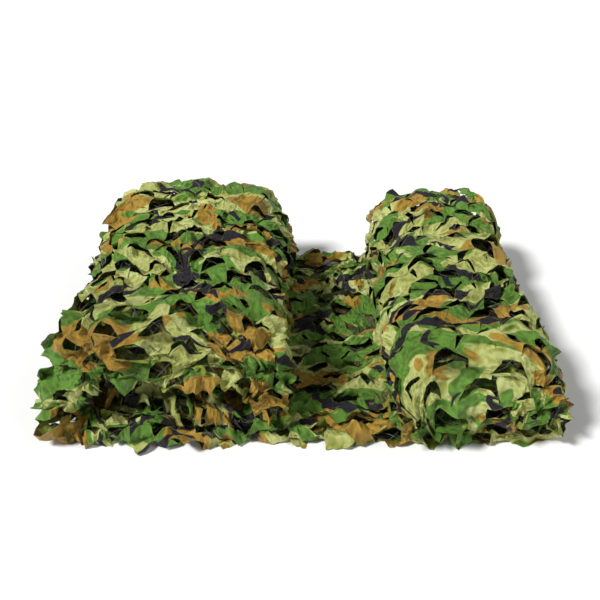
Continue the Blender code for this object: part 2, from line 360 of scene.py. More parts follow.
def middle_surface():
    """Places and lengths: a grid from the hem or fold at the front to the back fold, for every column."""
    u = np.linspace(0, NET_LENGTH, COLUMNS)
    x_front, z_front = section_line(np.zeros(COLUMNS))
    z_back = section_line(np.ones(COLUMNS))[1]
    front = recess(z_front, "front") - BUNDLE_DEPTH / 2
    front += TUCKED * (SIDE != 0) * inside_share(VALUE)
    back = BUNDLE_DEPTH / 2 - recess(z_back, "back")
    hanging, way = hanging_ends(x_front, front, z_front, u)
    total = back - front + hanging
    places = []
    for row in range(MIDDLE_ROWS):
        from_back = (1 - row / (MIDDLE_ROWS - 1)) * total
        y = np.maximum(back - from_back, front)
        x, z = section_line(np.clip((y + BUNDLE_DEPTH / 2) / BUNDLE_DEPTH, 0, 1))
        beyond = np.maximum(0, from_back - (back - front))
        places.append(np.stack([x, y, z], axis=1) + way * beyond[:, None])
    places = np.array(places)
    for _ in range(SOFTENINGS):
        places[1:-1] = (places[:-2] + 2 * places[1:-1] + places[2:]) / 4
    return places, total, hanging


def unit(vectors):
    return vectors / np.maximum(1e-9, np.linalg.norm(vectors, axis=-1, keepdims=True))


MIDDLE, STRIP_DEPTH, HANGING = middle_surface()
print("longest hanging end:", round(float(HANGING.max()), 3), "m")

# %% [markdown]
# ## The fold in three
#
# Across the strip the cloth makes an S: the middle ply runs from the back to the front fold, the outer ply
# runs from there to the back fold, and the inner ply comes back towards the front, where its cut edge lies.
# The outer ply is what one sees round the rolls, and the inner ply is what one sees between them. Where the
# strip hangs over a roll's end the two first plies are longer, and the inner one is so much shorter.
#
# A point of the cloth is (u, v): u along the 5 m and v across the 2 m. The guide surface is a grid of
# those points, each at its place in the bundle, and its UV map is (u, v). Anything made flat on the cloth
# can then be laid on the bundle by looking its place up there.
#
# Besides its place, each point of the guide carries what the leaves need to know: the direction in which
# they point (towards larger v), the direction out of the printed side, whether it shows, and how loose the
# cloth is there. Near the folds and on the hanging ends nothing holds the leaves down, so they curl.

# %% The folded section
PLIES = {"inner": 0.0112, "middle": 0.0078, "outer": -0.0055}  # offsets from the strip's middle
PLY_STEP = 0.014
BEND_STEPS = 7
GATHER = 1.12  # metres of cloth on each metre of the outer and inner ply: its cord mesh draws it together
BACK_FOLD = 2 / 3  # where the back fold lies, as a share of the net's width
FULLEST = 0.96  # no ply reaches further than this share of the strip's depth


def letter_fold():
    """The section from one cut edge to the other, at every column: shares of the depth from front to back,
    offsets from the strip's middle, and which ply each row is."""
    front_radius = (PLIES["middle"] - PLIES["outer"]) / 2
    back_radius = (PLIES["inner"] - PLIES["outer"]) / 2
    front_share, back_share = front_radius / BUNDLE_DEPTH, 1 - back_radius / BUNDLE_DEPTH
    steps = round(BUNDLE_DEPTH / PLY_STEP)
    bend = np.linspace(0, math.pi, BEND_STEPS + 2)[1:-1]
    gathered = NET_WIDTH / GATHER / STRIP_DEPTH
    middle_reach = np.minimum(FULLEST, BACK_FOLD * gathered - 1)
    inner_reach = np.minimum(FULLEST, (1 - BACK_FOLD) * gathered)
    fixed = [
        front_share - np.sin(bend) * front_radius / BUNDLE_DEPTH,
        np.linspace(front_share, back_share, steps),
        back_share + np.sin(bend) * back_radius / BUNDLE_DEPTH,
    ]
    share = np.concatenate([
        np.linspace(middle_reach, np.full(COLUMNS, front_share), steps),
        np.repeat(np.concatenate(fixed)[:, None], COLUMNS, axis=1),
        np.linspace(np.full(COLUMNS, back_share), 1 - inner_reach, steps),
    ])
    offset = np.concatenate([
        np.full(steps, PLIES["middle"]),
        PLIES["outer"] + front_radius * (1 + np.cos(bend)),
        np.full(steps, PLIES["outer"]),
        PLIES["outer"] + back_radius * (1 - np.cos(bend)),
        np.full(steps, PLIES["inner"]),
    ])
    ply = np.repeat([0, 1, 1, 1, 2], [steps, len(bend), steps, len(bend), steps])
    return share, offset, ply


SHARE, OFFSET, PLY = letter_fold()
print("rows of the guide:", len(PLY), "in", 1 + max(PLY), "plies")

# %% The guide surface
CREASES = [  # pressed-in lines round the rolls: on which roll, where along the depth, how deep and wide
    {"side": -1, "at": 0.405, "wander": 0.018, "deep": 0.010, "wide": 0.012},
    {"side": 1, "at": 0.690, "wander": 0.014, "deep": 0.009, "wide": 0.012},
    {"side": -1, "at": 0.170, "wander": 0.030, "deep": 0.006, "wide": 0.018},
    {"side": 1, "at": 0.360, "wander": 0.030, "deep": 0.005, "wide": 0.016},
]
WRINKLE = 0.0040  # how far the cloth's soft wrinkles rise and dip
WRINKLE_SIZE = 0.11
FOLD_WANDER = 0.014  # how far the fold lines wander from straight
FOLD_SPREAD = 0.40  # how much further apart the plies lie at the folds, as a share
LOOSE_DEPTH = 0.080  # how far in from a fold the leaves are loose
LOOSENESS = {"front": 1.0, "back": 0.2, "trough": 0.35}
LOOSE_HANGING = {-1: 0.9, 0: 0.0, 1: 0.45}  # on the end that hangs over the front of each roll
LOOSE_ABOVE = {-1: 0.085, 0: 0.0, 1: 0.015}  # how far up from a hanging end each roll is loose
BACK_SQUEEZE = 0.5  # how much closer the plies lie at the back fold
OUTSIDE_TURN = 1.06  # turns beyond this one are covered
PRESSED_ROOM = 0.3  # how much of the crumpling is left where cloth presses on cloth
ROOM_WHERE_LOOSE = 0.5
LOWEST = 0.0006
PRESSED_ABOVE = 0.08  # the creases round the rolls fade out below this height
CREASE_RATE, FOLD_RATE = 5, 7  # how fast the noise of crease lines and of fold lines changes on a metre
HANG_FADE = 0.04  # over this height the looseness of a hanging end fades out
SHORTEST_HANGING = 0.02  # shorter ends don't count as hanging
TROUGH_MARGIN = 0.06  # how far beside the trough the flat stretch still shows
HARDLY_LOOSE = 0.02  # cloth looser than this shows


def heart_share():
    """The strip's thickness as a share, which changes towards the inner end of each roll."""
    share = np.ones(COLUMNS)
    for roll in ROLLS.values():
        on = SIDE == roll["side"]
        to_end = (roll["turns"] - VALUE[on]) / HEART_TURNS
        share[on] = 1 + (roll["heart"] - 1) * ease(2 * (1 - to_end))
    return share


def press(places, u):
    """How deep the creases press the outside of the rolls in."""
    deep = np.zeros(COLUMNS)
    for crease in CREASES:
        on = (SIDE == crease["side"]) & (VALUE < 1.0)
        wander = crease["wander"] * wander_along(u, CREASE_RATE, crease["at"])
        distance = places[:, 1] - (crease["at"] + wander - 0.5) * BUNDLE_DEPTH
        dent = crease["deep"] * np.exp(-((distance / crease["wide"]) ** 2))
        deep += on * ease(places[:, 2] / PRESSED_ABOVE) * dent
    return deep


def between_rows(surface, share):
    """The surface's values at each column's own share of the way from its first row to its last."""
    row = np.clip(share, 0, 1) * (len(surface) - 1)
    before = np.minimum(row.astype(int), len(surface) - 2)
    column, part = np.arange(COLUMNS), (row - before)[:, None]
    return surface[before, column] * (1 - part) + surface[before + 1, column] * part


def guide_grid():
    """Every guide point's place, how loose the cloth is there, and how closed its leaves are."""
    u = np.linspace(0, NET_LENGTH, COLUMNS)
    thick = heart_share()
    backwards = unit(np.gradient(MIDDLE, axis=0))
    inwards = unit(np.cross(np.gradient(MIDDLE, axis=1), backwards))
    places, looseness, closed = [], [], []
    loose_above = np.array([LOOSE_ABOVE[side] for side in SIDE])
    loose_hanging = np.array([LOOSE_HANGING[side] for side in SIDE])
    for share, offset, ply in zip(SHARE, OFFSET, PLY):
        here = between_rows(MIDDLE, share)
        from_front, from_back = share * STRIP_DEPTH, (1 - share) * STRIP_DEPTH
        inset = np.minimum(from_front, from_back)
        near_fold = 1 - ease(inset / LOOSE_DEPTH)
        near_back = near_fold * (from_back < from_front)
        squeezed = 1 - BACK_SQUEEZE * near_back
        near_fold *= np.where(from_front < from_back, LOOSENESS["front"], LOOSENESS["back"])
        wander = wander_along(u, FOLD_RATE, 0.4 * ply, 4 + round(share.mean()))
        wrinkle = np.array([soft_noise(a / WRINKLE_SIZE, 9 * b + 3 * ply, 0) for a, b in zip(u, share)])
        stand = offset * thick * squeezed * (1 + FOLD_SPREAD * near_fold)
        stand = stand + WRINKLE * wrinkle * (1 + near_fold)
        if ply == 2:
            open_flat = (SIDE == 0) & (here[:, 0] > TROUGH[0]) & (here[:, 0] < TROUGH[1])
            near_fold = np.maximum(near_fold, LOOSENESS["trough"] * open_flat)
            stand = stand + open_flat * FOLD_PUFF * (1 - ease(inset / FOLD_PUFF_DEPTH))
        if ply == 1:
            stand = stand + press(here, u)
        here = here + between_rows(inwards, share) * stand[:, None]
        here = here + between_rows(backwards, share) * (FOLD_WANDER * wander * near_fold)[:, None]
        here[:, 2] = np.maximum(LOWEST, here[:, 2])
        hangs = loose_hanging * ease((HANGING + loose_above - from_front) / HANG_FADE)
        hangs = hangs * (HANGING > SHORTEST_HANGING)
        places.append(here)
        looseness.append(np.maximum(near_fold, hangs))
        closed.append(ease(4 * near_back) * (SIDE != 0))
    return np.array(places), np.array(looseness), np.array(closed)


def showing(places, loose):
    """Where the cloth is seen from outside: the outer ply of the outside turn, the open flat part, and
    whatever is loose."""
    outer = (PLY == 1)[:, None] & ((SIDE == 0) | (VALUE < OUTSIDE_TURN))[None, :]
    x = places[:, :, 0]
    in_trough = (x > TROUGH[0] - TROUGH_MARGIN) & (x < TROUGH[1] + TROUGH_MARGIN)
    upper = (PLY == 2)[:, None] & (SIDE == 0)[None, :] & in_trough
    return outer | upper | (loose > HARDLY_LOOSE)


def across_net():
    """Each guide point's place across the net, as a share of its width. The outer ply is gathered alike
    everywhere, so its rows of leaves run straight round the rolls."""
    steps = np.hypot(np.diff(SHARE, axis=0) * STRIP_DEPTH, np.diff(OFFSET)[:, None])
    walked = np.concatenate([np.zeros((1, COLUMNS)), np.cumsum(steps, axis=0)])
    outer = np.flatnonzero(PLY == 1)
    front, back, end = walked[outer[BEND_STEPS // 2]], walked[outer[-1 - BEND_STEPS // 2]], walked[-1]
    on_outer = BACK_FOLD - (back - walked) * GATHER / NET_WIDTH
    front_fold = BACK_FOLD - (back - front) * GATHER / NET_WIDTH
    on_middle = front_fold * walked / front
    on_inner = BACK_FOLD + (1 - BACK_FOLD) * (walked - back) / (end - back)
    print("cloth across the fold:", round(float(end.min()), 3), "to", round(float(end.max()), 3),
          "m, for a net of", NET_WIDTH, "m")
    return np.where(walked < front, on_middle, np.where(walked > back, on_inner, on_outer))


def grid_corners(rows, columns):
    """The four corners of every face of a grid of points, in order round the face."""
    corner = np.arange(rows * columns).reshape(rows, columns)
    return [part.ravel() for part in (corner[:-1, :-1], corner[:-1, 1:], corner[1:, 1:], corner[1:, :-1])]


def store(data, kind, fields):
    """Stores values on every point of a mesh, under their names."""
    key = "vector" if kind == "FLOAT_VECTOR" else "value"
    for name, values in fields.items():
        layer = data.attributes.new(name, kind, "POINT")
        layer.data.foreach_set(key, np.asarray(values, dtype=np.float32).ravel())


def make_guide():
    places, loose, closed = guide_grid()
    along, down = unit(np.gradient(places, axis=1)), unit(np.gradient(places, axis=0))
    u = np.repeat(np.linspace(0, 1, COLUMNS)[None, :], len(PLY), axis=0)
    data = bpy.data.meshes.new("guide")
    quads = np.stack(grid_corners(len(PLY), COLUMNS), axis=1)
    data.from_pydata(places.reshape(-1, 3), [], quads.tolist())
    shows = showing(places, loose)
    room = np.where(shows, 1.0 + ROOM_WHERE_LOOSE * loose, PRESSED_ROOM)
    store(data, "FLOAT_VECTOR", {
        "net_place": np.stack([u, across_net(), np.zeros_like(u)], axis=2),
        "down": down,
        "out": unit(np.cross(down, along)),
    })
    store(data, "FLOAT", {"loose": loose, "shows": shows, "room": room, "closed": closed})
    return bpy.data.objects.new("guide", data)


guide = make_guide()
print("guide surface:", len(guide.data.vertices), "points")

# %% [markdown]
# ## Creases
#
# Thin woven polyester holds a crease. Cloth that has been cut full of leaves and stuffed away is no smooth
# sheet: it is full of small flat facets that meet in straight folds, and its rows wander.
#
# A noise would give soft waves. Here a coarse net of points is laid over the flat cloth, and each point is
# pushed a little along, across and out of it. Between the points the cloth stays flat, so the folds come
# out straight and sharp.

# %% The crease map
CREASE_SPACING = 0.025
CREASE_JITTER = 0.30  # of the spacing
PUSH = {"along": 0.0045, "down": 0.0045, "lowest": -0.0070, "highest": 0.0145}
DRIFT = 0.058  # how far rows of leaves slide off their places
DRIFT_SIZE = 0.19
DRIFT_LAYERS = (0.5, 20.5)  # where in the noise the slide along and the slide down are read
CREASE_SEED = 11


def crease_facets(rows, columns, chance):
    """Two triangles for every face of a grid, split along one diagonal or the other."""
    a, b, c, d = grid_corners(rows, columns)
    turned = (chance.random(len(a)) < 0.5)[:, None]
    first = np.where(turned, np.stack([a, b, c], axis=1), np.stack([a, b, d], axis=1))
    second = np.where(turned, np.stack([a, c, d], axis=1), np.stack([b, c, d], axis=1))
    return np.concatenate([first, second]).tolist()


def make_crease_map():
    chance = np.random.default_rng(CREASE_SEED)
    across, along = round(NET_WIDTH / CREASE_SPACING) + 1, round(NET_LENGTH / CREASE_SPACING) + 1
    v, u = np.meshgrid(np.linspace(0, 1, across), np.linspace(0, 1, along), indexing="ij")
    inner = (v > 0) & (v < 1) & (u > 0) & (u < 1)
    u = u + inner * chance.uniform(-CREASE_JITTER, CREASE_JITTER, u.shape) / along
    v = v + inner * chance.uniform(-CREASE_JITTER, CREASE_JITTER, v.shape) / across
    spots = list(zip((u * NET_LENGTH / DRIFT_SIZE).flat, (v * NET_WIDTH / DRIFT_SIZE).flat))
    drift = np.array([[soft_noise(a, b, layer) for a, b in spots] for layer in DRIFT_LAYERS])
    drift = drift.reshape(2, across, along) * DRIFT
    shift = np.stack([
        chance.uniform(-PUSH["along"], PUSH["along"], u.shape),
        chance.uniform(-PUSH["down"], PUSH["down"], u.shape),
        chance.uniform(PUSH["lowest"], PUSH["highest"], u.shape),
    ], axis=2)
    data, level = bpy.data.meshes.new("crease_map"), np.zeros_like(u)
    flat = np.stack([u * NET_LENGTH, v * NET_WIDTH, level], axis=2)
    data.from_pydata(flat.reshape(-1, 3), [], crease_facets(across, along, chance))
    store(data, "FLOAT_VECTOR", {
        "net_place": np.stack([u, v, level], axis=2),
        "shift": shift,
        "drift": np.stack([*drift, level], axis=2),
    })
    return bpy.data.objects.new("crease_map", data)


crease_map = make_crease_map()
print("crease map:", len(crease_map.data.polygons), "facets")

# %% [markdown]
# ## The leaves
#
# The cloth is cut in staggered rows. Each cut is one curved or bent line that doesn't close, so it frees a
# leaf that stays joined along its root. Cutters use a handful of outlines and mirror them.
#
# Each leaf could be bent out of a plane with modifiers, but then the cuts of a row would all look alike.
# Here one brick of cloth with its cut is a small flat mesh: the outline of the cut is part of its
# triangles, and the cut is a split along those edges. Six outlines and their mirror images give twelve
# bricks. A second, plainer set with few faces serves the turns that are covered.

# %% Sizes of the leaves
LEAF_COLUMNS = 66
LEAF_ROWS = 52
BRICK_LONG = NET_LENGTH / LEAF_COLUMNS
BRICK_HIGH = NET_WIDTH / LEAF_ROWS
LONG_STEPS, HIGH_STEPS = 8, 4  # border points are shared with the next brick, so all bricks have these
FINE_SPACING = 0.0062
ROOT_SPACING = 0.0100
HOOD_REACH = 0.009  # how far from a cut its upper lip still lifts

# Each cut from one end of its root to the other, as corners (across, up) in shares of the brick.
CUTS = {
    "bowl": [(0.17, 0.12), (0.20, 0.66), (0.38, 0.93), (0.70, 0.88), (0.84, 0.12)],
    "trapezoid": [(0.15, 0.12), (0.27, 0.84), (0.62, 0.92), (0.76, 0.74), (0.86, 0.12)],
    "peak": [(0.16, 0.12), (0.34, 0.60), (0.45, 0.95), (0.60, 0.66), (0.86, 0.14)],
    "notch": [
        (0.15, 0.12), (0.25, 0.78), (0.38, 0.94), (0.50, 0.60), (0.62, 0.92), (0.76, 0.70), (0.85, 0.12),
    ],
    "slant": [(0.14, 0.12), (0.20, 0.44), (0.68, 0.94), (0.80, 0.62), (0.86, 0.12)],
    "tongue": [(0.20, 0.12), (0.16, 0.78), (0.54, 0.95), (0.74, 0.64), (0.86, 0.16)],
}
ROUND_CUTS = {"bowl"}
JITTER = 0.3  # how far an inner point is shaken, as a share of the spacing
CLEARANCE = 0.6  # how near it may come to a fixed one, as a share too
ON_LINE = 1e-5  # points nearer to a line than this lie on it
POINT_NOTES = ("reach", "across", "hood", "rim", "border")
print("cuts:", ", ".join(CUTS))


# %% The outline of a cut
def rounded(corners):
    """Cuts the corners of an open line off, a quarter of each run from its ends."""
    line = [corners[0]]
    for here, there in zip(corners, corners[1:]):
        line += [here.lerp(there, 0.25), here.lerp(there, 0.75)]
    return line + [corners[-1]]


def stepped(corners, spacing):
    """Points along a line, about evenly spaced, that keep its corners."""
    line = [corners[0]]
    for here, there in zip(corners, corners[1:]):
        pieces = max(1, round((there - here).length / spacing))
        line += [here.lerp(there, i / pieces) for i in range(1, pieces + 1)]
    return line


def thinned(line, spacing):
    """The line without points that crowd each other."""
    kept = [line[0]]
    for point in line[1:-1]:
        if (point - kept[-1]).length > spacing and (point - line[-1]).length > spacing:
            kept.append(point)
    return kept + [line[-1]]


def cut_line(cut, mirrored, fine):
    """A cut as a line of points on the brick."""
    corners = [
        Vector(((1 - across if mirrored else across) * BRICK_LONG, up * BRICK_HIGH))
        for across, up in CUTS[cut]
    ]
    if not fine:
        return corners
    if cut in ROUND_CUTS:
        corners = rounded(corners)
    return stepped(thinned(corners, FINE_SPACING / 2), FINE_SPACING)


def border_points():
    low = [Vector((BRICK_LONG * i / LONG_STEPS, 0)) for i in range(LONG_STEPS)]
    right = [Vector((BRICK_LONG, BRICK_HIGH * i / HIGH_STEPS)) for i in range(HIGH_STEPS)]
    high = [Vector((BRICK_LONG - point.x, BRICK_HIGH)) for point in low]
    left = [Vector((0, BRICK_HIGH - point.y)) for point in right]
    return low + right + high + left


def inner_points(fixed, chance):
    """Jittered points that fill the brick, clear of the fixed ones."""
    points = []
    for i in range(1, round(BRICK_LONG / FINE_SPACING)):
        for j in range(1, round(BRICK_HIGH / FINE_SPACING)):
            shaken = Vector([place + chance.uniform(-JITTER, JITTER) for place in (i, j)]) * FINE_SPACING
            if min((shaken - point).length for point in fixed) > FINE_SPACING * CLEARANCE:
                points.append(shaken)
    return points


print("bricks of", round(BRICK_LONG * 1000, 1), "x", round(BRICK_HIGH * 1000, 1), "mm")


# %% One brick of cloth
def inside(point, outline_points):
    """Whether a point lies within a closed outline."""
    within = False
    for here, there in zip(outline_points, outline_points[1:] + outline_points[:1]):
        if (here.y > point.y) != (there.y > point.y):
            crossing = here.x + (point.y - here.y) / (there.y - here.y) * (there.x - here.x)
            within ^= point.x < crossing
    return within


def distance_to(point, line):
    """How far a point is from a line."""
    found = []
    for here, there in zip(line, line[1:]):
        nearest, along = geometry.intersect_point_line(point, here, there)
        nearest = here if along < 0 else there if along > 1 else nearest
        found.append((point - Vector(nearest[:2])).length)
    return min(found)


def split_along(mesh, verts, line_length, first):
    """Opens the mesh along the cut, so that the leaf hangs on its root alone."""
    pairs = [(verts[first + i], verts[first + i + 1]) for i in range(line_length - 1)]
    bmesh.ops.split_edges(mesh, edges=[mesh.edges.get(pair) for pair in pairs])


def note_points(mesh, line, root):
    """Stores on each point how far out on the leaf it is, and how near the cut or the brick's border."""
    layers = {name: mesh.verts.layers.float.new(name) for name in POINT_NOTES}
    low, high = sorted((line[0], line[-1]), key=lambda point: point.x)
    for vert in mesh.verts:
        point = vert.co.xy
        along = (point.x - low.x) / (high.x - low.x)
        above_root = point.y - (low.y + (high.y - low.y) * min(1, max(0, along)))
        on_leaf = any(inside(face.calc_center_median().xy, line + root) for face in vert.link_faces)
        from_cut = distance_to(point, line)
        lifted = min(1.0, max(0.0, above_root / (BRICK_HIGH / 2)))
        vert[layers["reach"]] = max(0.0, above_root) if on_leaf else 0.0
        vert[layers["across"]] = point.x - (low.x + high.x) / 2
        vert[layers["hood"]] = 0.0 if on_leaf else lifted * math.exp(-((from_cut / HOOD_REACH) ** 2))
        vert[layers["rim"]] = 1.0 if from_cut < ON_LINE else 0.0
        on_border = min(point.x, point.y, BRICK_LONG - point.x, BRICK_HIGH - point.y) < ON_LINE
        vert[layers["border"]] = 1.0 if on_border else 0.0


def cut_brick(name, cut, mirrored, fine, seed):
    """One brick of cloth as a flat mesh, open along its cut, with its printed side down."""
    line = cut_line(cut, mirrored, fine)
    root = stepped([line[-1], line[0]], ROOT_SPACING if fine else BRICK_LONG)[1:-1]
    border = border_points()
    fixed = border + line + root
    points = fixed + (inner_points(fixed, random.Random(seed)) if fine else [])
    first, loop = len(border), len(line) + len(root)
    edges = [(first + i, first + (i + 1) % loop) for i in range(loop)]
    places, _, faces, sources = geometry.delaunay_2d_cdt(points, edges, [], 0, 1e-7)[:4]
    mesh = bmesh.new()
    corners = [mesh.verts.new((*place, 0)) for place in places]
    verts = {source: corners[i] for i, found in enumerate(sources) for source in found}
    for face in faces:
        mesh.faces.new([corners[i] for i in reversed(face)])
    split_along(mesh, verts, len(line), first)
    note_points(mesh, line, root)
    data = bpy.data.meshes.new(name)
    mesh.to_mesh(data)
    mesh.free()
    return bpy.data.objects.new(name, data)


def brick_set(name, fine):
    """The twelve bricks as a collection that a node can pick from."""
    bricks = bpy.data.collections.new(name)
    for seed, cut in enumerate(CUTS):
        for mirrored in (False, True):
            brick_name = f"{name}_{cut}" + ("_mirrored" if mirrored else "")
            bricks.objects.link(cut_brick(brick_name, cut, mirrored, fine, 2 * seed + mirrored))
    return bricks


fine_bricks, plain_bricks = brick_set("fine", True), brick_set("plain", False)
for bricks in (fine_bricks, plain_bricks):
    counts = [len(brick.data.polygons) for brick in bricks.objects]
    print(bricks.name, "bricks:", len(counts), "with", min(counts), "to", max(counts), "triangles")

# %% [markdown]
# ## Laying the cut cloth on the guide
#
# More than three thousand leaves can't be placed by hand. A Geometry Nodes tree sets bricks side by side in
# staggered rows, flat, as the cutter's table would show them, and welds their borders. Then it looks up, for
# each point, where that spot of the net lies in the bundle. A point of a leaf is measured from the leaf's
# root instead: it starts there, in the direction in which the leaf points, and bends away from the cloth by
# the leaf's own lift, curl and twist. So the leaf comes off the cloth and leaves a real hole behind it.

# %% Helpers for node trees
VECTOR = "FLOAT_VECTOR"


def set_sockets(tree, node, inputs):
    """Sets a node's inputs, or links them to what feeds them."""
    for key, value in inputs.items():
        if isinstance(value, bpy.types.NodeSocket):
            tree.links.new(value, node.inputs[key])
        else:
            node.inputs[key].default_value = value


def add_node(tree, kind, inputs=None, **settings):
    """A node with its settings made, and its inputs set or linked."""
    made = tree.nodes.new(kind)
    for name, value in settings.items():
        setattr(made, name, value)
    set_sockets(tree, made, inputs or {})
    return made


def calc(tree, operation, *values):
    """The result of a Math node."""
    return add_node(tree, "ShaderNodeMath", dict(enumerate(values)), operation=operation).outputs[0]


def plus(tree, *values):
    return reduce(lambda total, value: calc(tree, "ADD", total, value), values)


def times(tree, *values):
    return reduce(lambda total, value: calc(tree, "MULTIPLY", total, value), values)


def minus(tree, whole, taken):
    return calc(tree, "SUBTRACT", whole, taken)


def over(tree, whole, size):
    return calc(tree, "DIVIDE", whole, size)


def vector_calc(tree, operation, *values):
    """The result of a Vector Math node."""
    return add_node(tree, "ShaderNodeVectorMath", dict(enumerate(values)), operation=operation).outputs[0]


def scaled(tree, vector, size):
    """A vector made longer or shorter."""
    return add_node(tree, "ShaderNodeVectorMath", {0: vector, 3: size}, operation="SCALE").outputs[0]


def vector_of(tree, x, y, z=0.0):
    return add_node(tree, "ShaderNodeCombineXYZ", {0: x, 1: y, 2: z}).outputs[0]


def parts(tree, vector):
    """The x, y and z of a vector."""
    return add_node(tree, "ShaderNodeSeparateXYZ", {0: vector}).outputs


def between(tree, share, low, high, start=0.0, end=1.0):
    """Goes from low to high as the share goes from start to end."""
    return add_node(tree, "ShaderNodeMapRange", {0: share, 1: start, 2: end, 3: low, 4: high}).outputs[0]


def new_tree(name, kind, inputs, outputs):
    """A tree with named inputs and outputs: the tree, what its inputs put out, and its end node."""
    tree = bpy.data.node_groups.new(name, kind)
    for title, value_kind, value in inputs:
        socket = tree.interface.new_socket(title, in_out="INPUT", socket_type="NodeSocket" + value_kind)
        if value is not None:
            socket.default_value = value
    for title, value_kind in outputs:
        tree.interface.new_socket(title, in_out="OUTPUT", socket_type="NodeSocket" + value_kind)
    return tree, tree.nodes.new("NodeGroupInput").outputs, tree.nodes.new("NodeGroupOutput")


# %% Looking things up on the guide
INSIDE_BORDERS = 0.0004  # how far inside the net's borders a place is kept, as a share


def position(tree):
    return tree.nodes.new("GeometryNodeInputPosition").outputs[0]


def stored(tree, name, kind="FLOAT"):
    """A named attribute."""
    return add_node(tree, "GeometryNodeInputNamedAttribute", {"Name": name}, data_type=kind).outputs[0]


def keep(tree, geometry_in, name, value):
    """Stores a number on every point."""
    sockets = {"Geometry": geometry_in, "Name": name, "Value": value}
    return add_node(tree, "GeometryNodeStoreNamedAttribute", sockets, data_type="FLOAT").outputs[0]


def helper_meshes(tree, given):
    """The guide and the crease map that a tree is given."""
    return [
        add_node(tree, "GeometryNodeObjectInfo", {"Object": given[name]}).outputs["Geometry"]
        for name in ("Guide", "Crease map")
    ]


def look_up(tree, surface, name, place, kind="FLOAT"):
    """What the guide or the crease map has stored at this place of the net."""
    value = position(tree) if name == "position" else stored(tree, name, kind)
    sockets = {"Mesh": surface, "Value": value, "Sample UV": place}
    sockets["UV Map"] = stored(tree, "net_place", VECTOR)
    return add_node(tree, "GeometryNodeSampleUVSurface", sockets, data_type=kind).outputs["Value"]


def net_place(tree, u, v):
    """A place of the net as shares of its length and width, kept just inside its borders."""
    kept = []
    for share in (over(tree, u, NET_LENGTH), over(tree, v, NET_WIDTH)):
        kept.append(calc(tree, "MINIMUM", calc(tree, "MAXIMUM", share, INSIDE_BORDERS), 1 - INSIDE_BORDERS))
    return vector_of(tree, *kept)


def drifted(tree, crease_mesh, u, v):
    """The place on the guide for this place of the cloth, which has slid a little on its way in."""
    slid = parts(tree, look_up(tree, crease_mesh, "drift", net_place(tree, u, v), VECTOR))
    return net_place(tree, plus(tree, u, slid[0]), plus(tree, v, slid[1]))


def beside_guide(tree, guide_mesh, place, aside, forth, away, floor):
    """The point this far aside, down and out from a place on the guide, but not below the floor."""
    base, down, out = [look_up(tree, guide_mesh, name, place, VECTOR) for name in ("position", "down", "out")]
    along = vector_calc(tree, "CROSS_PRODUCT", out, down)
    for way, far in ((along, aside), (down, forth), (out, away)):
        base = vector_calc(tree, "ADD", base, scaled(tree, way, far))
    x, y, z = parts(tree, base)
    return vector_of(tree, x, y, calc(tree, "MAXIMUM", z, floor))


def joined(tree, *geometries):
    joint = tree.nodes.new("GeometryNodeJoinGeometry")
    for geometry_in in geometries:
        tree.links.new(geometry_in, joint.inputs[0])
    return joint.outputs[0]


def end_tree(tree, geometry_in, material, end):
    """Makes instances real, and gives all of it its material."""
    real = add_node(tree, "GeometryNodeRealizeInstances", {"Geometry": geometry_in}).outputs[0]
    dressed = add_node(tree, "GeometryNodeSetMaterial", {"Geometry": real, "Material": material})
    tree.links.new(dressed.outputs[0], end.inputs[0])


# %% Flat cloth: where bricks go and how their leaves behave
CLOTH_INPUTS = [
    ("Guide", "Object", None), ("Crease map", "Object", None),
    ("Fine bricks", "Collection", None), ("Plain bricks", "Collection", None),
    ("Cloth", "Material", None), ("First column", "Int", 0), ("Columns", "Int", 10),
    ("Rows", "Int", LEAF_ROWS), ("Brick length", "Float", BRICK_LONG), ("Brick height", "Float", BRICK_HIGH),
    ("Lowest lift", "Float", -0.24), ("Lift", "Float", 0.72), ("Loose lift", "Float", 2.1),
    ("Curl", "Float", 12.0), ("Loose curl", "Float", 26.0), ("Twist", "Float", 19.0),
    ("Swing", "Float", 0.60), ("Bend", "Float", 1.1), ("Bend skew", "Float", 0.7),
    ("Waviness", "Float", 0.0025), ("Wave size", "Float", 0.050), ("Crumple", "Float", 0.009),
    ("Crumple size", "Float", 0.024), ("Lip", "Float", 0.009), ("Highest", "Float", 0.021),
    ("Loose highest", "Float", 0.032), ("Sharp angle", "Float", 0.28), ("Shrink", "Float", 0.15),
    ("Floor", "Float", 0.0006), ("Seed", "Int", 7),
]
LOOSER = {"Twist": 2.5, "Bend": 2.0, "Shrink": 1.8, "Swing": 1.8}  # how many times more where it is loose
BACKWARD_CURL = -0.5  # as a share of the curl forward
COVERED_LIFT = 0.25  # how much of the lift is left where the cloth is covered
CLOSED_LEAF = 0.15  # how much lift, curl, lip, twist, bend, shrinking and swing is left in closed leaves
BEND_STARTS = (0.2, 0.6)  # how far out on a leaf its bend starts, as a share of the brick's height
DRAWN = (0.95, 1.02)  # how long a leaf is before it shrinks, where open and where closed
ROW_NUMBERS = 1000  # leaf numbers kept for each row
SHOWN_ENOUGH = 0.4
LAST_PLACE = 0.9  # a brick fits if this share of it lies on the net
WELD = 0.0005


def moved(tree, geometry_in, x, y):
    """Geometry moved over the flat cloth."""
    sockets = {"Geometry": geometry_in, "Offset": vector_of(tree, x, y)}
    return add_node(tree, "GeometryNodeSetPosition", sockets).outputs[0]


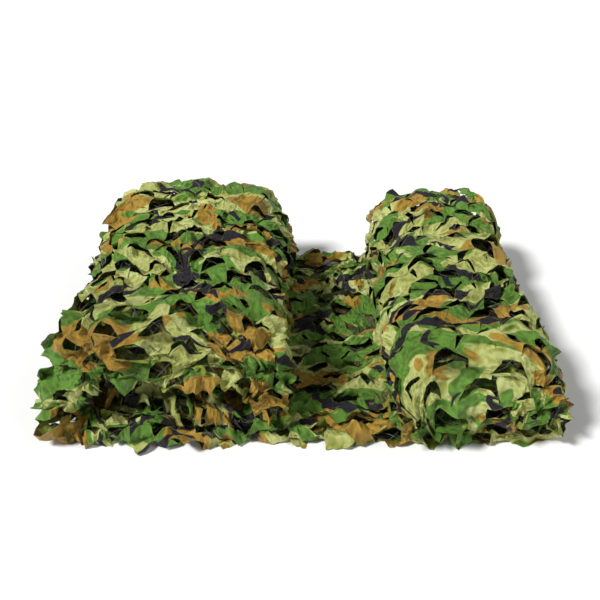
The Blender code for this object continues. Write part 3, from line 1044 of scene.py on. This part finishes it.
def brick_points(tree, given):
    """A grid of places for bricks, every other row shifted by half a brick."""
    long, high = given["Brick length"], given["Brick height"]
    columns, rows = given["Columns"], given["Rows"]
    width = times(tree, minus(tree, columns, 1), long)
    height = times(tree, minus(tree, rows, 1), high)
    sockets = {"Size X": width, "Size Y": height, "Vertices X": columns, "Vertices Y": rows}
    grid = add_node(tree, "GeometryNodeMeshGrid", sockets).outputs["Mesh"]
    start = plus(tree, times(tree, given["First column"], long), over(tree, width, 2))
    placed = moved(tree, grid, start, over(tree, height, 2))
    row = calc(tree, "ROUND", over(tree, parts(tree, position(tree))[1], high))
    return moved(tree, placed, times(tree, calc(tree, "MODULO", row, 2), over(tree, long, 2)), 0.0)


def chance(tree, leaf_number, seed):
    """A random number from 0 to 1 for each leaf."""
    sockets = {2: 0.0, 3: 1.0, "ID": leaf_number, "Seed": seed}
    return add_node(tree, "FunctionNodeRandomValue", sockets, data_type="FLOAT").outputs[1]


def give_habits(tree, given, points, guide_mesh, crease_mesh):
    """Stores on each brick how its leaf lifts, curls and twists: more where the cloth is loose."""
    u, v, _ = parts(tree, position(tree))
    column = calc(tree, "ROUND", times(tree, u, 2 / BRICK_LONG))
    row = calc(tree, "ROUND", over(tree, v, BRICK_HIGH))
    number = plus(tree, column, times(tree, row, ROW_NUMBERS))
    centre = drifted(tree, crease_mesh, plus(tree, u, BRICK_LONG / 2), plus(tree, v, BRICK_HIGH / 2))
    loose, shows, closed = [look_up(tree, guide_mesh, name, centre) for name in ("loose", "shows", "closed")]
    luck = [chance(tree, number, plus(tree, given["Seed"], i)) for i in range(10)]
    either_way = {i: between(tree, luck[i], -1.0, 1.0) for i in (5, 7, 9)}
    seldom = calc(tree, "POWER", luck[0], 2.0)
    shown_lift = times(tree, given["Lift"], between(tree, shows, COVERED_LIFT, 1.0))
    calm_lift = plus(tree, given["Lowest lift"], times(tree, seldom, shown_lift))
    wild_lift = plus(tree, given["Lowest lift"], times(tree, luck[0], given["Loose lift"]))
    opened = between(tree, closed, 1.0, CLOSED_LEAF)
    curl = times(tree, opened, between(tree, loose, given["Curl"], given["Loose curl"]))
    most = {
        name: times(tree, given[name], between(tree, loose, 1.0, more), opened)
        for name, more in LOOSER.items()
    }
    habits = {
        "lift": times(tree, opened, between(tree, loose, calm_lift, wild_lift)),
        "curl": between(tree, luck[1], times(tree, curl, BACKWARD_CURL), curl),
        "twist": between(tree, luck[2], times(tree, most["Twist"], -1), most["Twist"]),
        "lip": times(tree, luck[3], opened, given["Lip"]),
        "bend": times(tree, either_way[5], most["Bend"]),
        "bend_start": between(tree, luck[6], *[BRICK_HIGH * share for share in BEND_STARTS]),
        "bend_skew": times(tree, given["Bend skew"], either_way[7]),
        "drawn": minus(tree, between(tree, closed, *DRAWN), times(tree, luck[8], most["Shrink"])),
        "swing": times(tree, either_way[9], most["Swing"]),
        "shown": shows,
        "luck": luck[4],
    }
    for name, value in habits.items():
        points = keep(tree, points, name, value)
    return points, number


def set_bricks(tree, given, points, number):
    """Puts a brick on each point, fine where it shows, and welds the bricks into one flat cloth."""
    fits = calc(tree, "LESS_THAN", parts(tree, position(tree))[0], NET_LENGTH - BRICK_LONG * LAST_PLACE)
    pick = add_node(tree, "FunctionNodeRandomValue", {
        4: 0, 5: 2 * len(CUTS) - 1, "ID": number, "Seed": given["Seed"],
    }, data_type="INT").outputs[2]
    shown = calc(tree, "GREATER_THAN", stored(tree, "shown"), SHOWN_ENOUGH)
    placed = []
    for collection, wanted in (("Fine bricks", shown), ("Plain bricks", minus(tree, 1.0, shown))):
        bricks = add_node(tree, "GeometryNodeCollectionInfo", {
            "Collection": given[collection], "Separate Children": True, "Reset Children": True,
        }).outputs[0]
        placed.append(add_node(tree, "GeometryNodeInstanceOnPoints", {
            "Points": points, "Selection": times(tree, fits, wanted), "Instance": bricks,
            "Pick Instance": True, "Instance Index": pick,
        }).outputs[0])
    real = add_node(tree, "GeometryNodeRealizeInstances", {"Geometry": joined(tree, *placed)}).outputs[0]
    on_border = calc(tree, "GREATER_THAN", stored(tree, "border"), 0.5)
    return add_node(tree, "GeometryNodeMergeByDistance", {
        "Geometry": real, "Selection": on_border, "Distance": WELD,
    }).outputs[0]


print("the cloth tree takes", len(CLOTH_INPUTS), "inputs")


# %% The tree that cuts and lays the cloth
LEAST_CURL = 0.001  # keeps a flat leaf from dividing by nothing
WAVE_MIDDLE = 0.48  # the noise value at which the cloth neither rises nor dips
WAVES = (2.0, 4.0)  # how strong waves are where the cloth is tight and where it is loose
SOFT_LIMIT = 0.010  # how softly leaves are kept from standing too high


def cloth_noise(tree, flat, size, detail):
    """Noise over the flat cloth, with spots of this size."""
    return add_node(tree, "ShaderNodeTexNoise", {
        "Vector": scaled(tree, flat, over(tree, 1.0, size)), "Scale": 1.0, "Detail": detail,
    }).outputs[0]


def leaf_bend(tree, reach, across):
    """How far forth, and how far off the cloth, a leaf's lift, curl, twist and bend bring a point of it."""
    half_curl = plus(tree, times(tree, stored(tree, "curl"), reach, 0.5), LEAST_CURL)
    drawn = times(tree, stored(tree, "drawn"), over(tree, calc(tree, "SINE", half_curl), half_curl))
    start = plus(tree, stored(tree, "bend_start"), times(tree, stored(tree, "bend_skew"), across))
    near = times(tree, drawn, calc(tree, "MINIMUM", reach, calc(tree, "MAXIMUM", start, 0.0)))
    far = minus(tree, times(tree, drawn, reach), near)
    turned = times(tree, stored(tree, "twist"), across)
    near_angle = plus(tree, stored(tree, "lift"), half_curl, turned)
    far_angle = plus(tree, near_angle, stored(tree, "bend"))
    ends = []
    for way in ("COSINE", "SINE"):
        first, second = calc(tree, way, near_angle), calc(tree, way, far_angle)
        ends.append(plus(tree, times(tree, near, first), times(tree, far, second)))
    return ends


def lay_cloth(tree, given, cloth, guide_mesh, crease_mesh):
    """Moves each point of the flat cloth to its place in the bundle, with the leaves bent off it."""
    reach, across = stored(tree, "reach"), stored(tree, "across")
    u, own_v, _ = parts(tree, position(tree))
    v = minus(tree, own_v, reach)
    root = drifted(tree, crease_mesh, u, v)
    loose, room = [look_up(tree, guide_mesh, name, root) for name in ("loose", "room")]
    forth, off = leaf_bend(tree, reach, across)
    flat = vector_of(tree, u, v)
    wave = minus(tree, cloth_noise(tree, flat, given["Wave size"], 1.0), WAVE_MIDDLE)
    ridge = calc(tree, "ABSOLUTE", minus(tree, cloth_noise(tree, flat, given["Crumple size"], 0.0), 0.5))
    high = times(tree, given["Waviness"], between(tree, loose, *WAVES))
    deep = between(tree, loose, *[-strength for strength in WAVES])
    waved = plus(tree, times(tree, wave, high), times(tree, ridge, given["Crumple"], deep))
    lip = times(tree, stored(tree, "hood"), stored(tree, "lip"))
    shift = look_up(tree, crease_mesh, "shift", net_place(tree, u, own_v), VECTOR)
    push = parts(tree, scaled(tree, shift, room))
    swing = stored(tree, "swing")
    aside = plus(tree, times(tree, forth, calc(tree, "SINE", swing)), push[0])
    forth = plus(tree, times(tree, forth, calc(tree, "COSINE", swing)), push[1])
    highest = between(tree, loose, given["Highest"], given["Loose highest"])
    away = calc(tree, "SMOOTH_MIN", plus(tree, off, waved, lip, push[2]), highest, SOFT_LIMIT)
    place = beside_guide(tree, guide_mesh, root, aside, forth, away, given["Floor"])
    return add_node(tree, "GeometryNodeSetPosition", {"Geometry": cloth, "Position": place}).outputs[0]


def cloth_tree():
    tree, given, end = new_tree("leaf_cut_cloth", "GeometryNodeTree", CLOTH_INPUTS, [("Cloth", "Geometry")])
    helpers = helper_meshes(tree, given)
    points, number = give_habits(tree, given, brick_points(tree, given), *helpers)
    flat = set_bricks(tree, given, points, number)
    u, v, _ = parts(tree, position(tree))
    share = vector_of(tree, over(tree, u, NET_LENGTH), over(tree, v, NET_WIDTH))
    mapped = add_node(tree, "GeometryNodeStoreNamedAttribute", {
        "Geometry": flat, "Name": "net_map", "Value": share,
    }, data_type="FLOAT2", domain="CORNER").outputs[0]
    laid = lay_cloth(tree, given, mapped, *helpers)
    smooth = add_node(tree, "GeometryNodeSetShadeSmooth", {"Geometry": laid}).outputs[0]
    angle = tree.nodes.new("GeometryNodeInputMeshEdgeAngle").outputs["Unsigned Angle"]
    sharp = calc(tree, "GREATER_THAN", angle, given["Sharp angle"])
    folded = add_node(tree, "GeometryNodeSetShadeSmooth", {
        "Geometry": smooth, "Selection": sharp, "Shade Smooth": False,
    }, domain="EDGE").outputs[0]
    end_tree(tree, folded, given["Cloth"], end)
    return tree


leaf_cut_cloth_tree = cloth_tree()
print("cloth tree:", len(leaf_cut_cloth_tree.nodes), "nodes")

# %% [markdown]
# ## The print and the cloth
#
# The cloth is a thin woven polyester with a slight sheen, printed on one side with a woodland pattern:
# pale sage ground, mid green and brown patches with crisp borders, and dark branches over them. The back
# is the same print showing through, more yellow, and darker: partly its own duller colour and partly
# painted shade, so that holes which show the back of the ply behind look dark. The colour also carries
# painted shade and highlight: the small creases are darker where they dip and lighter where they stand
# up, each cut edge has a pale painted highlight, and the covered plies are darkened for the light lost
# between them. The print was on the cloth before it was cut and folded, so it follows the flat cloth:
# the material reads the net's UV map, and not the place in space.
#
# Such a pattern could be painted as an image. Noise cut off at a level gives patches like those of this
# traditional kind of print, without an image and without copying anybody's layout.

# %% Shader groups
PALE_SAGE = (0.380, 0.408, 0.100, 1)
LEAF_GREEN = (0.086, 0.194, 0.015, 1)
BARK_BROWN = (0.305, 0.182, 0.016, 1)
BRANCH_BLACK = (0.0080, 0.0045, 0.0085, 1)
# The back of the cloth: yellower, as the print shows through, and darker, partly its own duller colour and
# partly painted shade that darkens the holes which show the back of a ply.
BACK_TINT_AND_SHADE = (0.540, 0.620, 0.140, 1)
LIGHT_LEFT_INSIDE = 0.22  # the covered plies are darker, for the many gaps inside that swallow light
BLOT_LOOK = {"Detail": 2.0, "Roughness": 0.45, "Distortion": 0.6}
BRANCH_LOOK = {"Detail": 1.5, "Roughness": 0.5, "Distortion": 0.8}
BLOT_BORDER, BRANCH_BORDER = 0.008, 0.006  # how much noise lies between full colour and none


def print_noise(tree, place, scale, stretch, start, look):
    """Noise over the flat cloth, read from its own start and stretched."""
    drawn = vector_calc(tree, "MULTIPLY", vector_calc(tree, "ADD", place, start), stretch)
    return add_node(tree, "ShaderNodeTexNoise", {"Vector": drawn, "Scale": scale, **look}).outputs["Fac"]


def blots(tree, place, scale, stretch, start, level):
    """A mask of patches with crisp borders: noise, cut off at a level."""
    spots = print_noise(tree, place, scale, stretch, start, BLOT_LOOK)
    return between(tree, spots, 0.0, 1.0, level, level + BLOT_BORDER)


def branches(tree, place, scale, stretch, start, width):
    """A mask of thin winding shapes: where noise crosses its middle value."""
    spots = print_noise(tree, place, scale, stretch, start, BRANCH_LOOK)
    off_middle = calc(tree, "ABSOLUTE", minus(tree, spots, 0.5))
    return between(tree, off_middle, 0.0, 1.0, width + BRANCH_BORDER, width)


def mix_colour(tree, share, first, second, kind="MIX"):
    sockets = {0: share, 6: first, 7: second}
    return add_node(tree, "ShaderNodeMix", sockets, data_type="RGBA", blend_type=kind).outputs[2]


def woodland_group():
    """The print: the colour at each place of the flat cloth, in metres."""
    group, given, end = new_tree("woodland_print", "ShaderNodeTree", [
        ("Place", "Vector", None), ("Patches per Metre", "Float", 10.5),
        ("Ground", "Color", PALE_SAGE), ("Green", "Color", LEAF_GREEN),
        ("Brown", "Color", BARK_BROWN), ("Black", "Color", BRANCH_BLACK),
    ], [("Color", "Color"), ("Ink", "Float")])
    place, scale = given["Place"], given["Patches per Metre"]
    green = blots(group, place, scale, (0.8, 1.2, 1), (1.5, 4.3, 0), 0.490)
    brown = blots(group, place, scale, (0.75, 1.3, 1), (11.9, 18.3, 0), 0.572)
    twigs = branches(group, place, scale, (0.65, 0.9, 1), (30.9, 3.2, 0), 0.036)
    where = blots(group, place, scale, (0.6, 0.8, 1), (32.1, 2.8, 0), 0.535)
    ink, colour = times(group, twigs, where), given["Ground"]
    for mask, name in ((green, "Green"), (brown, "Brown"), (ink, "Black")):
        colour = mix_colour(group, mask, colour, given[name])
    set_sockets(group, end, {"Color": colour, "Ink": ink})
    return group


def fibre_group():
    """Threads and small creases: a height for bumps, and a tone that paints shade, darker where they dip."""
    group, given, end = new_tree("threads_and_creases", "ShaderNodeTree", [
        ("Place", "Vector", None), ("Threads per Metre", "Float", 1400.0),
        ("Creases per Metre", "Float", 190.0), ("Crease Depth", "Float", 1.0),
    ], [("Height", "Float"), ("Tone", "Float")])
    place, creases = given["Place"], given["Creases per Metre"]
    threads = [
        add_node(group, "ShaderNodeTexWave", {
            "Vector": place, "Scale": given["Threads per Metre"], "Distortion": 0.4,
        }, bands_direction=way).outputs["Fac"]
        for way in ("X", "Y")
    ]
    weave = times(group, *threads, 0.06)
    crease = add_node(group, "ShaderNodeTexNoise", {
        "Vector": vector_calc(group, "MULTIPLY", place, (1.0, 0.28, 1.0)), "Scale": creases,
        "Detail": 2.0, "Roughness": 0.55,
    }).outputs["Fac"]
    crumple = add_node(group, "ShaderNodeTexNoise", {
        "Vector": place, "Scale": over(group, creases, 3.0), "Detail": 1.0,
    }).outputs["Fac"]
    ridges = calc(group, "ABSOLUTE", minus(group, crumple, 0.5))
    folds = minus(group, plus(group, times(group, crease, 0.8), 0.65), times(group, ridges, 3.0))
    height = plus(group, times(group, folds, given["Crease Depth"]), weave)
    set_sockets(group, end, {"Height": height, "Tone": folds})
    return group


WOODLAND, FIBRE = woodland_group(), fibre_group()
print("shader groups:", WOODLAND.name, "and", FIBRE.name)


# %% The cloth material
def new_material(name):
    material = bpy.data.materials.new(name)
    material.use_nodes = True
    return material, material.node_tree, material.node_tree.nodes["Principled BSDF"]


def use_group(tree, group, inputs):
    return add_node(tree, "ShaderNodeGroup", inputs, node_tree=group).outputs


def grey(tree, tone):
    return vector_of(tree, tone, tone, tone)


def shaded(tree, colour, shade):
    """A colour multiplied by another."""
    return mix_colour(tree, 1.0, colour, shade, "MULTIPLY")


def bump(tree, height, strength, distance):
    sockets = {"Height": height, "Strength": strength, "Distance": distance}
    return add_node(tree, "ShaderNodeBump", sockets).outputs[0]


def make_cloth_material():
    material, tree, shader = new_material("leaf_cut_cloth")
    net_map = add_node(tree, "ShaderNodeUVMap", uv_map="net_map").outputs[0]
    sockets = {"Vector": net_map, "Scale": (NET_LENGTH, NET_WIDTH, 1)}
    metres = add_node(tree, "ShaderNodeMapping", sockets).outputs[0]
    printed, fibre = [use_group(tree, group, {"Place": metres}) for group in (WOODLAND, FIBRE)]
    luck, rim, shown = [
        add_node(tree, "ShaderNodeAttribute", attribute_name=name).outputs["Fac"]
        for name in ("luck", "rim", "shown")
    ]
    # Painted shade and highlight: the small creases darken the colour where they dip and lighten it where
    # they stand up, and the lighter parts are made less yellow. Each leaf also gets its own random tone.
    tone = between(tree, fibre["Tone"], 0.68, 1.42, 0.35, 1.05)
    crease_shade_and_leaf_tone = times(tree, tone, between(tree, luck, 0.84, 1.18))
    face = shaded(tree, printed["Color"], vector_of(tree, crease_shade_and_leaf_tone, crease_shade_and_leaf_tone, calc(tree, "POWER", crease_shade_and_leaf_tone, 2.0)))
    lit = grey(tree, between(tree, shown, LIGHT_LEFT_INSIDE, 1.0))
    # Painted highlight: a pale line along each cut edge, where the edge would catch the light.
    painted_edge_highlight = between(tree, rim, 0.0, 0.32, 0.75, 1.0)
    face = mix_colour(tree, painted_edge_highlight, shaded(tree, face, lit), shaded(tree, PALE_SAGE, lit))
    # The back: yellower, and darker partly as painted shade.
    back = mix_colour(tree, 0.85, face, BACK_TINT_AND_SHADE, "MULTIPLY")
    behind = tree.nodes.new("ShaderNodeNewGeometry").outputs["Backfacing"]
    set_sockets(tree, shader, {
        "Base Color": mix_colour(tree, behind, face, back),
        "Roughness": between(tree, printed["Ink"], 0.46, 0.62),
        "Normal": bump(tree, fibre["Height"], 1.0, 0.0050),
        "Sheen Weight": 0.05,
        "Specular IOR Level": 0.32,
    })
    return material


cloth_material = make_cloth_material()
print("material:", cloth_material.name)

# %% [markdown]
# ## The three lengths of cloth
#
# The net is one sheet, but one mesh of it would be very large. It is made in three lengths that meet where
# the rolls rest on the floor, out of sight: their border points lie in the same places.


# %% Cut and lay the cloth
def set_inputs(modifier, values):
    """Sets a modifier's inputs by the identifiers of their sockets."""
    for socket in modifier.node_group.interface.items_tree:
        if socket.item_type == "SOCKET" and socket.in_out == "INPUT" and socket.name in values:
            modifier[socket.identifier] = values[socket.name]


def run_tree(name, data, tree, inputs):
    """An object of this mesh, with the tree run on it and what came out kept as a plain mesh."""
    piece = bpy.data.objects.new(name, data)
    bpy.context.scene.collection.objects.link(piece)
    modifier = piece.modifiers.new("lay", "NODES")
    modifier.node_group = tree
    set_inputs(modifier, {"Guide": guide, "Crease map": crease_map, **inputs})
    evaluated = piece.evaluated_get(bpy.context.evaluated_depsgraph_get())
    piece.data = bpy.data.meshes.new_from_object(evaluated)
    piece.modifiers.remove(modifier)
    piece.data.calc_loop_triangles()
    print(name, len(piece.data.loop_triangles), "triangles")
    return piece


def lay_length(name, first, last):
    """The cloth between two columns of bricks."""
    piece = run_tree(name, bpy.data.meshes.new(name), leaf_cut_cloth_tree, {
        "Fine bricks": fine_bricks, "Plain bricks": plain_bricks, "Cloth": cloth_material,
        "First column": first, "Columns": last - first,
    })
    piece.data.name = name
    return piece


for helper in (guide, crease_map):
    bpy.context.scene.collection.objects.link(helper)
left_end = round(LEAF_COLUMNS * PART_LENGTHS[0] / PATH_LENGTH)
right_start = round(LEAF_COLUMNS * (PART_LENGTHS[0] + PART_LENGTHS[1]) / PATH_LENGTH)
LENGTHS = {
    "cloth_left_roll": (0, left_end),
    "cloth_flat_stretch": (left_end, right_start),
    "cloth_right_roll": (right_start, LEAF_COLUMNS),
}
cloths = {name: lay_length(name, *columns) for name, columns in LENGTHS.items()}

# %% [markdown]
# ## The cord mesh
#
# Behind the cloth runs a mesh of thin nylon cord, knotted in diamonds, which carries the net when it hangs.
# Here it shows only as fine lines in the openings. It could be drawn as a texture, but it has to cross the
# holes in the cloth, so it is modelled. Its points are placed flat, as one would knot it on a table, and
# Geometry Nodes lay them on the same guide, a little behind the cloth, and give them their thickness.

# %% Cords laid flat
MESH_PITCH = 0.045
CORD_PARTS = 3  # pieces of each side of a diamond
CORD_GREY = (0.060, 0.065, 0.045, 1)


def flat_cords(first, last):
    """Points and lines of the diamonds between two places along the net, and how many are knots."""
    half = MESH_PITCH / 2
    knots, edges = {}, []
    for j in range(1, int(NET_WIDTH / half)):
        for i in range(math.ceil(first / MESH_PITCH), int(last / MESH_PITCH)):
            knots[i, j] = Vector(((i + 0.5 * (j % 2)) * MESH_PITCH, j * half, 0))
    number = {key: index for index, key in enumerate(knots)}
    points = list(knots.values())
    for i, j in knots:
        for neighbour in ((i, j + 1), (i + (1 if j % 2 else -1), j + 1)):
            if neighbour in knots:
                chain = [number[i, j]]
                for k in range(1, CORD_PARTS):
                    chain.append(len(points))
                    points.append(knots[i, j].lerp(knots[neighbour], k / CORD_PARTS))
                chain.append(number[neighbour])
                edges += list(zip(chain, chain[1:]))
    return points, edges, len(knots)


# %% The tree that lays the cords
CORD_INPUTS = [
    ("Cords", "Geometry", None), ("Guide", "Object", None), ("Crease map", "Object", None),
    ("Cord", "Material", None), ("Radius", "Float", 0.0007), ("Behind", "Float", 0.0055),
    ("Follow", "Float", 0.5), ("Knot", "Float", 0.0017), ("Floor", "Float", 0.0025),
]
CORDS_SHOW = 0.9  # cords are left out where the cloth shows less than this


def cord_tree():
    tree, given, end = new_tree("cord_mesh", "GeometryNodeTree", CORD_INPUTS, [("Cords", "Geometry")])
    guide_mesh, crease_mesh = helper_meshes(tree, given)
    u, v, _ = parts(tree, position(tree))
    place = drifted(tree, crease_mesh, u, v)
    covered = calc(tree, "LESS_THAN", look_up(tree, guide_mesh, "shows", place), CORDS_SHOW)
    sockets = {"Geometry": given["Cords"], "Selection": covered}
    seen = add_node(tree, "GeometryNodeDeleteGeometry", sockets, domain="POINT").outputs[0]
    push = parts(tree, look_up(tree, crease_mesh, "shift", net_place(tree, u, v), VECTOR))
    away = minus(tree, times(tree, push[2], given["Follow"]), given["Behind"])
    spot = beside_guide(tree, guide_mesh, place, push[0], push[1], away, given["Floor"])
    laid = add_node(tree, "GeometryNodeSetPosition", {"Geometry": seen, "Position": spot}).outputs[0]
    lines = add_node(tree, "GeometryNodeMeshToCurve", {"Mesh": laid}).outputs[0]
    sockets = {"Resolution": 3, "Radius": given["Radius"]}
    ring = add_node(tree, "GeometryNodeCurvePrimitiveCircle", sockets).outputs[0]
    tubes = add_node(tree, "GeometryNodeCurveToMesh", {"Curve": lines, "Profile Curve": ring}).outputs[0]
    sockets = {"Radius": given["Knot"], "Subdivisions": 1}
    ball = add_node(tree, "GeometryNodeMeshIcoSphere", sockets).outputs[0]
    knotted = calc(tree, "GREATER_THAN", stored(tree, "knot"), 0.5)
    sockets = {"Points": laid, "Selection": knotted, "Instance": ball}
    knots = add_node(tree, "GeometryNodeInstanceOnPoints", sockets).outputs[0]
    sockets = {"Geometry": joined(tree, tubes, knots)}
    smooth = add_node(tree, "GeometryNodeSetShadeSmooth", sockets).outputs[0]
    end_tree(tree, smooth, given["Cord"], end)
    return tree


cord_mesh_tree = cord_tree()
print("cord tree:", len(cord_mesh_tree.nodes), "nodes")


# %% Cut and lay the cord mesh
def make_cord_material():
    material, tree, shader = new_material("nylon_cord")
    place = tree.nodes.new("ShaderNodeTexCoord").outputs["Object"]
    fibre = use_group(tree, FIBRE, {"Place": place, "Threads per Metre": 900.0, "Creases per Metre": 400.0})
    # Painted shade of the cord's small creases, as on the cloth.
    tone = grey(tree, between(tree, fibre["Tone"], 0.6, 1.5, 0.3, 1.1))
    set_sockets(tree, shader, {
        "Base Color": shaded(tree, CORD_GREY, tone),
        "Roughness": between(tree, fibre["Tone"], 0.35, 0.55),
        "Normal": bump(tree, fibre["Height"], 0.4, 0.0005),
    })
    return material


def lay_cords(name, first, last):
    """The cord mesh behind one length of cloth."""
    points, edges, knot_count = flat_cords(first, last)
    data = bpy.data.meshes.new(name)
    data.from_pydata(points, edges, [])
    store(data, "FLOAT", {"knot": np.arange(len(points)) < knot_count})
    return run_tree(name, data, cord_mesh_tree, {"Cord": cord_material})


cord_material = make_cord_material()
cord_meshes = {}
for name, (first, last) in LENGTHS.items():
    cord_name = name.replace("cloth", "cords")
    cord_meshes[name] = lay_cords(cord_name, first * BRICK_LONG, last * BRICK_LONG)

# %% [markdown]
# ## The pieces and the body they ride on
#
# The lengths of cloth replace the plain solid, and they and their cords ride on the one body.

for name, piece in cloths.items():
    first, last = LENGTHS[name]
    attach(piece, BODY)
    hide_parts(NODE)
    cords = cord_meshes[name]
    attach(cords, BODY)
for spare in [guide, crease_map, *fine_bricks.objects, *plain_bricks.objects]:
    bpy.data.objects.remove(spare)
print("sheets declared:", len(cloths))

# %% [markdown]
# ## Floor and light
#
# A plain pale floor and soft light from above, like a light tent: the tops of the leaves are bright, and
# the holes between them stay dark.


# %% Floor and light
FLOOR_HALF = 12.0
FLOOR_TONES = (0.88, 0.92)
LAMPS = {  # from where, how soft in degrees, and how strong
    "key_light": ((-1.5, -0.9, 1.9), 12, 3.8),
    "fill_light": ((1.5, -0.6, 1.4), 30, 0.7),
}
SKY_STRENGTH = 0.22


def make_floor():
    data = bpy.data.meshes.new("floor")
    corners = [(x * FLOOR_HALF, y * FLOOR_HALF, 0) for x, y in ((-1, -1), (1, -1), (1, 1), (-1, 1))]
    data.from_pydata(corners, [], [(0, 1, 2, 3)])
    floor = bpy.data.objects.new("floor", data)
    bpy.context.scene.collection.objects.link(floor)
    material, tree, shader = new_material("pale_floor")
    place = tree.nodes.new("ShaderNodeTexCoord").outputs["Object"]
    mottle = add_node(tree, "ShaderNodeTexNoise", {"Vector": place, "Scale": 6.0}).outputs["Fac"]
    tone = grey(tree, between(tree, mottle, *FLOOR_TONES))
    set_sockets(tree, shader, {"Base Color": tone, "Roughness": 0.9})
    data.materials.append(material)


def make_lamp(name, place, softness, strength):
    """A far soft lamp that shines from this direction on the whole floor alike."""
    lamp = bpy.data.lights.new(name, "SUN")
    lamp.angle, lamp.energy = math.radians(softness), strength
    holder = bpy.data.objects.new(name, lamp)
    holder.location = place
    holder.rotation_euler = (-Vector(place)).to_track_quat("-Z", "Y").to_euler()
    bpy.context.scene.collection.objects.link(holder)


def make_sky(strength):
    world = bpy.data.worlds.new("studio")
    world.use_nodes = True
    sky = world.node_tree.nodes["Background"]
    sky.inputs["Color"].default_value = (1, 1, 1, 1)
    seen = world.node_tree.nodes.new("ShaderNodeLightPath").outputs["Is Camera Ray"]
    world.node_tree.links.new(between(world.node_tree, seen, strength, 1.0), sky.inputs["Strength"])
    bpy.context.scene.world = world


make_floor()
for name, (place, softness, strength) in LAMPS.items():
    make_lamp(name, place, softness, strength)
make_sky(SKY_STRENGTH)
bpy.context.scene.view_settings.view_transform = "Standard"
